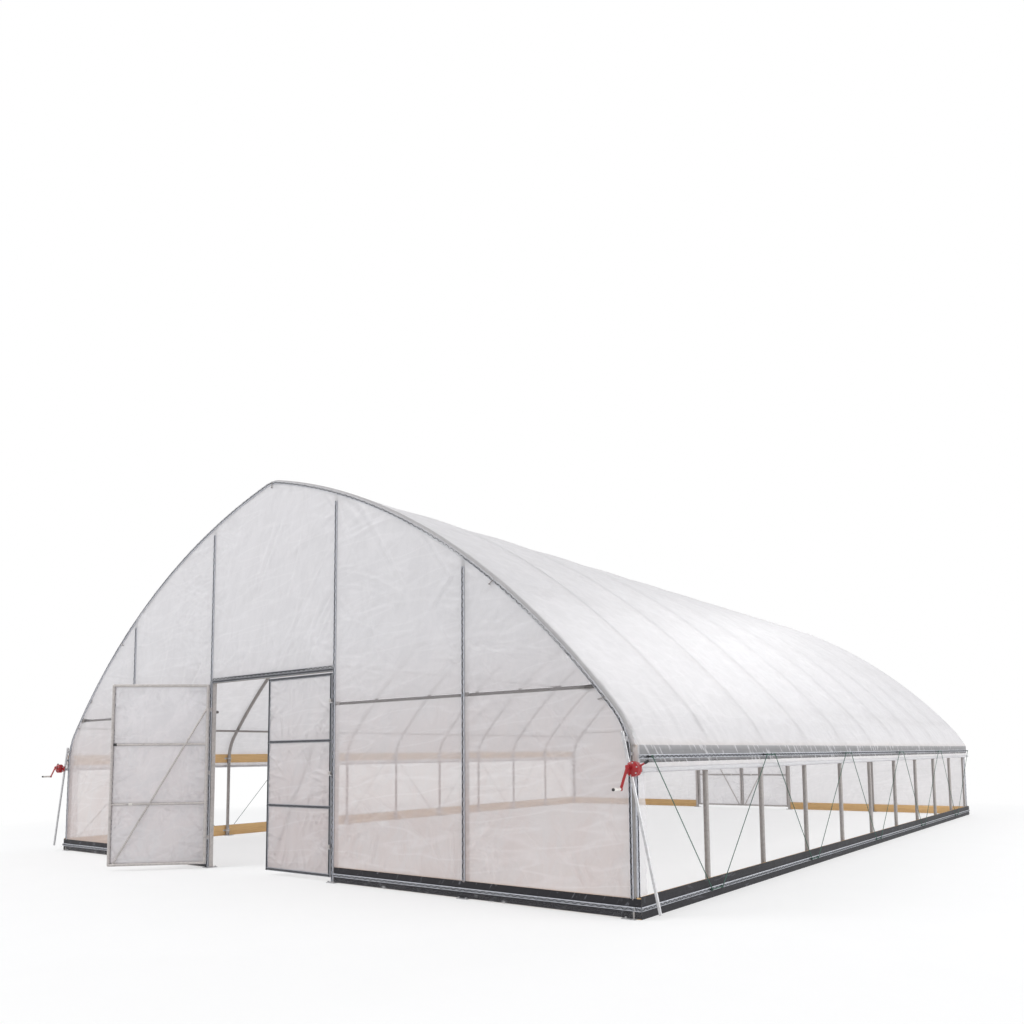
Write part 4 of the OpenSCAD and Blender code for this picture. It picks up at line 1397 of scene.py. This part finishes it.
class TUNNEL_OT_ropes(Piece, bpy.types.Operator):
    """Lay the lacing ropes down both sides, with their hooks and knots"""

    bl_idname = "tunnel.ropes"
    bl_label = "Ropes and hooks"

    def build(self):
        pegs, knots = Shape(), []
        for side, name, node in ((-1, "left_lacing", "ropes_left"), (1, "right_lacing", "ropes_right")):
            self.lacing(side, name, node)
            for i in range(BAYS + 1):
                for way in (-1, 1):
                    if 0 < i + way * 0.5 < BAYS:
                        spot, base_x = self.hook(side, i, way)
                        seat = Vector((side * base_x, spot.y, spot.z))
                        long = (spot - seat).length
                        peg = [(0, 0), (0.013, 0), (0.013, 0.003), (0.006, 0.004), (0.005, long - 0.006)]
                        peg += [(HOOK_R, long - 0.004), (HOOK_R, long + 0.004)]
                        peg += [(0.004, long + 0.006), (0, long + 0.006)]
                        pegs.add(turned(peg, seat, (side, 0, 0), 12))
                        knots.append(spot)
        pegs.build("rope_pegs", ["black"], slot="dark_film", stands_for=["rope_hooks"])
        coils = Shape()
        section = [(0.0028 * math.cos(a), 0.0028 * math.sin(a)) for a in np.linspace(0, 2 * math.pi, 7)[:-1]]
        turn = [(math.cos(a), math.sin(a)) for a in np.linspace(0, 2 * math.pi, 17)[:-1]]
        for spot in knots:
            out = Vector((math.copysign(1, spot.x), 0, 0))
            for k in (-0.0045, 0.0005):
                ring = [spot + out * (k + 0.0006 * s) + Vector((0, c, s)) * 0.0098 for c, s in turn]
                coils.add(sweep([v[:] for v in (*ring, ring[0])], out, section))
        coils.build("rope_turns", ["rope"], slot="green_rope")

    def hook(self, side, i, way):
        """The rope's spot at a hook, before or after hoop i, and the distance out of the hook's seat."""
        high = (i % 2 == 0) != (side < 0)
        x, z = (ROLL_X + ROLL_R + 0.009, HIP_LOCK_Z) if high else (BAND_X + LOCK_T + 0.015, BASE_LOCK_Z)
        return Vector((side * x, HOOPS[i] + way * 0.100, z)), (LAP_X if high else BAND_X) + LOCK_T

    def lacing(self, side, name, node):
        """One side's rope: a run across every bay and a short one past every hoop."""
        look, pieces = sizes(), []
        values = {"Radius": look.rope_radius, "Lay": look.rope_lay, "Material": finish("rope")}
        runs = [((i, 1), (i + 1, -1)) for i in range(BAYS)] + [((i, -1), (i, 1)) for i in range(1, BAYS)]
        for ends in runs:
            a, b = (self.hook(side, *end)[0] for end in ends)
            way = (b - a).normalized() * HOOK_R
            source = mesh_object("rope_line", straight(a + way, b - way, 2))
            pieces.append(grown(source, "rope", values, "rope_run"))
        place(joined(name, pieces), "root", [node])


class TUNNEL_OT_doors(Piece, bpy.types.Operator):
    """Finish the four door leaves: film, channels, wire, sockets and catches"""

    bl_idname = "tunnel.doors"
    bl_label = "Door leaves"

    def build(self):
        for back, right, seed in ((0, 0, 31), (0, 1, 32), (1, 0, 33), (1, 1, 34)):
            name = f"{'back' if back else 'front'}_{'right' if right else 'left'}_leaf"
            swing = 0.0 if back or right else sizes().door_open
            pivot = JOINTS[name + "_hinge"]["pos_m"]
            hand = (-1 if right else 1, -1 if back else 1)
            to_world = Matrix.Translation((pivot[0], pivot[1], 0)) @ Matrix.Diagonal((*hand, 1, 1))
            to_world = to_world @ Matrix.Rotation(-swing, 4, "Z")
            far = abs(pivot[0]) - 0.006
            film_y = abs(pivot[1] - (BACK if back else FRONT)) - FILM_OUT
            film = "back_leaf_film" if back else "open_leaf_film" if swing else "leaf_film"
            # The leaf frame takes the lighter copy of the steel colour, painted light.
            dress("leaf_tube", name + "_frame")
            self.locks(name, to_world, far, film_y)
            self.film(name, to_world, far, film_y, film, seed, hand[0] * hand[1] > 0)
            self.sockets(name, to_world, far, film_y)

    def locks(self, name, to_world, far, y):
        """A channel with its wire along every outer bar and middle rail."""
        bars = [((LEAF_NEAR, y, z), (far, y, z)) for z in LEAF_RAILS]
        bars += [((x, y, LEAF_LOW), (x, y, LEAF_HIGH)) for x in (LEAF_NEAR + LEAF_R, far - LEAF_R)]
        out = np.array(to_world.to_3x3() @ Vector((0, -1, 0)))
        shape, runs = Shape(), []
        for ends in bars:
            add_channel(shape, straight(*ends), (0, -1, 0), LEAF_R * 1.96, LEAF_LOCK_T, to_world)
            line = np.array([(to_world @ Vector(p))[:] for p in ends])
            runs.append((lifted(line, out, LEAF_LOCK_T - 0.0012), out))
        # The hollow of the leaf's channels takes a darker copy of the channel colour: painted shade.
        shape.build(name + "_locks", ["lock", "hollow"], name, "lock_channel", [name + "_film"], sharp=25)
        spring_wire(name + "_wires", runs, name)

    def film(self, name, to_world, far, film_y, film, seed, flip):
        """The leaf's film, folded from all four edges of each field and flat on its bars."""
        rng = np.random.default_rng(seed)
        x, z, flat = table(np.linspace(LEAF_NEAR, far, 74), np.linspace(LEAF_LOW, LEAF_HIGH, 146))
        lift = np.zeros(len(flat))
        deep = sizes().fold_depth
        for k in range(3):
            z0, z1 = LEAF_LOW + k * LEAF_STEP + 2 * LEAF_R, LEAF_LOW + (k + 1) * LEAF_STEP
            inside = (flat[:, 1] > z0) & (flat[:, 1] < z1)
            n = 24
            for edge, way in ((LEAF_NEAR, 0.0), (far, np.pi), (z0, np.pi / 2), (z1, -np.pi / 2)):
                upright = edge in (LEAF_NEAR, far)
                xs = edge if upright else rng.uniform(LEAF_NEAR, far, n)
                zs = rng.uniform(z0, z1, n) if upright else edge
                angles = way + rng.normal(0, 0.5, n)
                lengths = rng.uniform(0.08, 0.45, n)
                lift += folds(rng, flat, xs, zs, angles, lengths, deep * 1.2, 0.014) * inside
            n = 5
            lift += folds(
                rng, flat, rng.uniform(LEAF_NEAR, far, n), rng.uniform(z0, z1, n),
                rng.uniform(0.3, 2.8, n), rng.uniform(0.3, 0.8, n), deep * 0.6, 0.02,
            )
        to_bar = np.min([x - LEAF_NEAR, far - x, *(np.abs(z - rail) for rail in LEAF_RAILS)], axis=0)
        y = film_y + 0.0015 - lift.reshape(x.shape) * smooth(to_bar, 0.016, 0.06)
        points = np.stack([x, y, z], -1) @ np.array(to_world.to_3x3()).T + np.array(to_world.translation)
        sheet = Shape().add(grid(points, flip)).film(name + "_sheet", film, (), [1.10], name)
        flat_size = (far - LEAF_NEAR, LEAF_HIGH - LEAF_LOW)
        name + "_frame"

    def sockets(self, name, to_world, far, film_y):
        """Cross clamps where the middle rails and the brace meet the stiles, an end plug and a catch."""
        shape = Shape()
        y = film_y + 0.003 + LEAF_R
        near, free = LEAF_NEAR + LEAF_R, far - LEAF_R
        rails = LEAF_RAILS[1:3]
        clamps = [(x, z) for x in (near, free) for z in rails] + [(near, LEAF_HIGH - LEAF_R - 0.245)]
        for x, z in clamps:
            shape.add(rod((x, y, z - 0.022), (x, y, z + 0.022), LEAF_R + 0.002, 16, 0.003), to_world)
        plug = rod((free - 0.016, y, rails[1]), (free - 0.050, y - 0.003, rails[1]), 0.0155, 14, 0.003)
        shape.add(plug, to_world, kind=1)
        x = LEAF_NEAR + (far - LEAF_NEAR) * 0.78
        catch = rod((x - 0.02, y - 0.003, rails[0]), (x + 0.02, y - 0.003, rails[0]), 0.0155, 14, 0.003)
        shape.add(catch, to_world, kind=2)
        shape.build(name + "_sockets", ["leaf_tube", "black", "pale"], name, "steel_tube")


class TUNNEL_OT_cranks(Piece, bpy.types.Operator):
    """Make the crank housings with their levers, caps for their poles, and the two crank handles"""

    bl_idname = "tunnel.cranks"
    bl_label = "Cranks"

    def build(self):
        housings, poles = Shape(), Shape()
        for side, swing in ((-1, math.radians(45)), (1, math.radians(-20))):
            self.housing(housings, side)
            self.handle(side, swing)
        skins = ["red", "black", "zinc"]
        housings.build("gear_housings", skins, slot="red_casting", stands_for=["crank_housings"])
        cap = [(0, 0), (0.0142, 0), (0.0142, 0.022), (0.012, 0.026), (0, 0.026)]
        for side in SIDES:
            top = Vector((side * (HALF - 0.045), FRONT - 0.070, LEG_TOP + 0.2))
            foot = Vector((side * (HALF + 0.252), FRONT - 0.070, 0.060))
            way = (top - foot).normalized()
            poles.add(turned(cap, top - way * 0.020, way, 16))
        poles.build("pole_caps", ["zinc"], slot="zinc_hardware")

    def housing(self, shape, side):
        """Drum with a stepped cover, cover screws, shaft boss, pole clamp and catch lever."""
        x, z, r, long = side * (ROLL_X - 0.010), ROLL_Z + 0.012, 0.058, DRUM_LONG
        drum = [(0, 0), (r - 0.006, 0), (r, 0.006), (r, 0.030), (r - 0.004, 0.032), (r - 0.004, 0.037)]
        drum += [(r, 0.039), (r, long - 0.010), (r - 0.010, long - 0.002), (r - 0.016, long), (0, long)]
        shape.add(turned(drum, (x, DRUM_Y, z), FORWARD, 10, 0.2))
        forward = Matrix.Rotation(math.radians(90), 4, "X")
        for k in range(6):
            a = math.radians(60 * k + 20)
            spot = (x + 0.045 * math.cos(a), DRUM_Y - long + 0.004, z + 0.045 * math.sin(a))
            shape.add(bolt_part(0.0045, 0.006), Matrix.Translation(spot) @ forward, kind=2)
        axle = JOINTS["right_crank_turn"]["pos_m"]
        boss = [(0, 0), (0.018, 0), (0.018, 0.008), (0.0165, 0.010), (0.0090, 0.010), (0.0088, 0.0), (0, 0.0)]
        shape.add(turned(boss, (side * abs(axle[0]), DRUM_Y - long, axle[2]), FORWARD, 18))
        low_x, high_x = sorted((side * (HALF - 0.012), side * ROLL_X))
        shape.add(block((low_x, DRUM_Y - 0.014, z - 0.040), (high_x, DRUM_Y - 0.0005, z + 0.030), 0.006, 2))
        for dz in (-0.026, 0.018):
            spot = (side * (HALF + 0.012), DRUM_Y - 0.014, z + dz)
            shape.add(bolt_part(0.006, 0.008), Matrix.Translation(spot) @ forward, kind=2)
        a = Vector((side * (ROLL_X + 0.020), DRUM_Y - 0.030, z + 0.010))
        b = Vector((side * (ROLL_X + 0.105), DRUM_Y - 0.005, z + 0.062))
        tip = (b - a).length
        shape.add(turned([(0, 0), (0.0105, 0), (0.0085, 0.02), (0.0070, 0.070), (0, 0.070)], a, b - a, 12))
        knob = [(0, 0.064), (0.0095, 0.064), (0.0115, 0.070), (0.0115, tip - 0.004), (0.009, tip), (0, tip)]
        shape.add(turned(knob, a, b - a, 14), kind=1)

    def handle(self, side, swing):
        """Flat arm with a hub, and a pale grip with a dark end that runs forward."""
        hand = "right" if side > 0 else "left"
        name = hand + "_crank"
        pivot = JOINTS[name + "_turn"]["pos_m"]
        arm, y = 0.175, DRUM_Y - DRUM_LONG - 0.022
        to_world = Matrix.Translation((pivot[0], 0, pivot[2])) @ Matrix.Diagonal((side, 1, 1, 1))
        to_world = to_world @ Matrix.Rotation(-swing, 4, "Y")
        hub = [(0, 0), (0.015, 0), (0.0165, 0.002), (0.0165, 0.011), (0.013, 0.0135), (0, 0.0135)]
        eye = [(0, 0), (0.014, 0), (0.014, 0.013), (0.011, 0.0145), (0, 0.0145)]
        grip = [(0, 0), (0.0105, 0.0), (0.0130, 0.006), (0.0118, 0.030), (0.0130, 0.060)]
        grip += [(0.0118, 0.090), (0, 0.090)]
        tip = [(0, 0), (0.0112, 0.0), (0.0115, 0.009), (0.0080, 0.0145), (0, 0.0160)]
        shape = Shape()
        shape.add(rod((0, y + 0.046, 0), (0, y, 0), 0.008, 16), to_world, kind=2)
        shape.add(turned(hub, (0, y, 0), FORWARD, 20), to_world)
        shape.add(block((-0.011, y - 0.011, -arm), (0.011, y - 0.001, 0.0), 0.003, 2), to_world)
        shape.add(turned(eye, (0, y + 0.0005, -arm), FORWARD, 18), to_world)
        shape.add(turned(grip, (0, y - 0.0155, -arm), FORWARD, 20), to_world, kind=1)
        shape.add(turned(tip, (0, y - 0.1056, -arm), FORWARD, 20), to_world, kind=3)
        skins = ["red", "pale", "zinc", "black"]
        shape.build(name + "_handle", skins, name, "red_casting", ["crank_" + hand])


class TUNNEL_OT_stage(Piece, bpy.types.Operator):
    """Set the floor, the soft light and the camera"""

    bl_idname = "tunnel.stage"
    bl_label = "Stage"

    def build(self):
        self.floor()
        self.lights()
        self.camera()
        bpy.context.scene.view_settings.view_transform = "Standard"
        bpy.context.scene.cycles.transparent_max_bounces = 24

    def floor(self):
        """A wide pale disc that fades into the background at its rim."""
        points, faces = turned([(r, -0.001) for r in (0.0, 12.0, 30.0, 60.0)], (0, 0, 0), UP, 96)
        thing = mesh_object("floor", points, [q for f in faces for q in f])
        f = Finish("pale_floor")
        away = f.node("ShaderNodeVectorMath", {"operation": "LENGTH"}, {0: f.place}, out="Value")
        tone = f.blend(f.noise(2.0, 3.0), (0.90, 0.90, 0.90), (0.94, 0.94, 0.94))
        ground = f.body(Base_Color=tone, Roughness=0.9)
        seen = f.node("ShaderNodeEmission", values={"Color": (1, 1, 1, 1), "Strength": 1.0})
        share = (away.ramp(8.5, 15.0) + 0.5 * f.plain_rays()).clamped()
        mixed = f.node("ShaderNodeMixShader", values={0: share, 1: ground, 2: seen})
        thing.data.materials.append(f.done(mixed))

    def lights(self):
        world = bpy.data.worlds.new("studio")
        bpy.context.scene.world = world
        world.use_nodes = True
        t = Tree(world.node_tree)
        t.tree.nodes.clear()
        soft = t.node("ShaderNodeBackground", values={"Color": (0.97, 0.98, 1.0, 1), "Strength": 0.62})
        white = t.node("ShaderNodeBackground", values={"Color": (1, 1, 1, 1), "Strength": 1.0})
        both = t.node("ShaderNodeMixShader", values={0: t.plain_rays(), 1: soft, 2: white})
        t.node("ShaderNodeOutputWorld", values={"Surface": both})
        for name, energy, spot, aim, wide in (
            ("key", 2100, (-9, -18, 15), (0, -2, 1.5), 10.0),
            ("fill", 2350, (22, 3, 9), (2, 1, 1.5), 14.0),
            ("rim", 900, (2, 20, 16), (0, 3, 2), 12.0),
        ):
            lamp = bpy.data.lights.new(name, "AREA")
            lamp.energy, lamp.size = energy, wide
            thing = linked(name, lamp)
            thing.location = spot
            thing.rotation_euler = (Vector(aim) - Vector(spot)).to_track_quat("-Z", "Y").to_euler()

    def camera(self):
        """A standing eye off the front right corner, looking across to the back left."""
        lens = bpy.data.cameras.new("camera")
        thing = linked("camera", lens)
        turn, tip, roll = 0.6307, math.pi / 2 + 0.0874, -0.0120
        lens.sensor_width = 36.0
        lens.lens = 847.5 / 1024 * 36.0
        lens.shift_x, lens.shift_y = -0.0436, 0.1641
        lens.clip_end = 400.0
        thing.location = (7.909, -11.286, 1.2354)
        aim = Matrix.Rotation(turn, 3, "Z") @ Matrix.Rotation(tip, 3, "X") @ Matrix.Rotation(roll, 3, "Z")
        thing.rotation_euler = aim.to_euler()
        bpy.context.scene.camera = thing


OPERATORS = (
    TUNNEL_OT_stage,
    TUNNEL_OT_frame,
    TUNNEL_OT_boards,
    TUNNEL_OT_covers,
    TUNNEL_OT_channels,
    TUNNEL_OT_roof,
    TUNNEL_OT_end_film,
    TUNNEL_OT_rolls,
    TUNNEL_OT_ropes,
    TUNNEL_OT_doors,
    TUNNEL_OT_cranks,
)


class TUNNEL_PT_pieces(bpy.types.Panel):
    """Lists the tunnel's pieces and its sizes."""

    bl_idname = "TUNNEL_PT_pieces"
    bl_label = "Polytunnel"
    bl_space_type = "VIEW_3D"
    bl_region_type = "UI"
    bl_category = "Polytunnel"

    def draw(self, context):
        for operator in OPERATORS:
            self.layout.operator(operator.bl_idname)
        for group in (context.scene.tunnel_sizes, context.scene.tunnel_colours):
            box = self.layout.box()
            for name in group.bl_rna.properties.keys():
                if name not in ("rna_type", "name"):
                    box.prop(group, name)


CLASSES = (TunnelSizes, TunnelColours, *OPERATORS, TUNNEL_PT_pieces)


def register():
    for item in CLASSES:
        bpy.utils.register_class(item)
    bpy.types.Scene.tunnel_sizes = bpy.props.PointerProperty(type=TunnelSizes)
    bpy.types.Scene.tunnel_colours = bpy.props.PointerProperty(type=TunnelColours)


def unregister():
    del bpy.types.Scene.tunnel_colours
    del bpy.types.Scene.tunnel_sizes
    for item in reversed(CLASSES):
        bpy.utils.unregister_class(item)


def main():
    register()
    for operator in OPERATORS:
        group, call = operator.bl_idname.split(".")
        getattr(getattr(bpy.ops, group), call)()


if __name__ == "__main__":
    main()
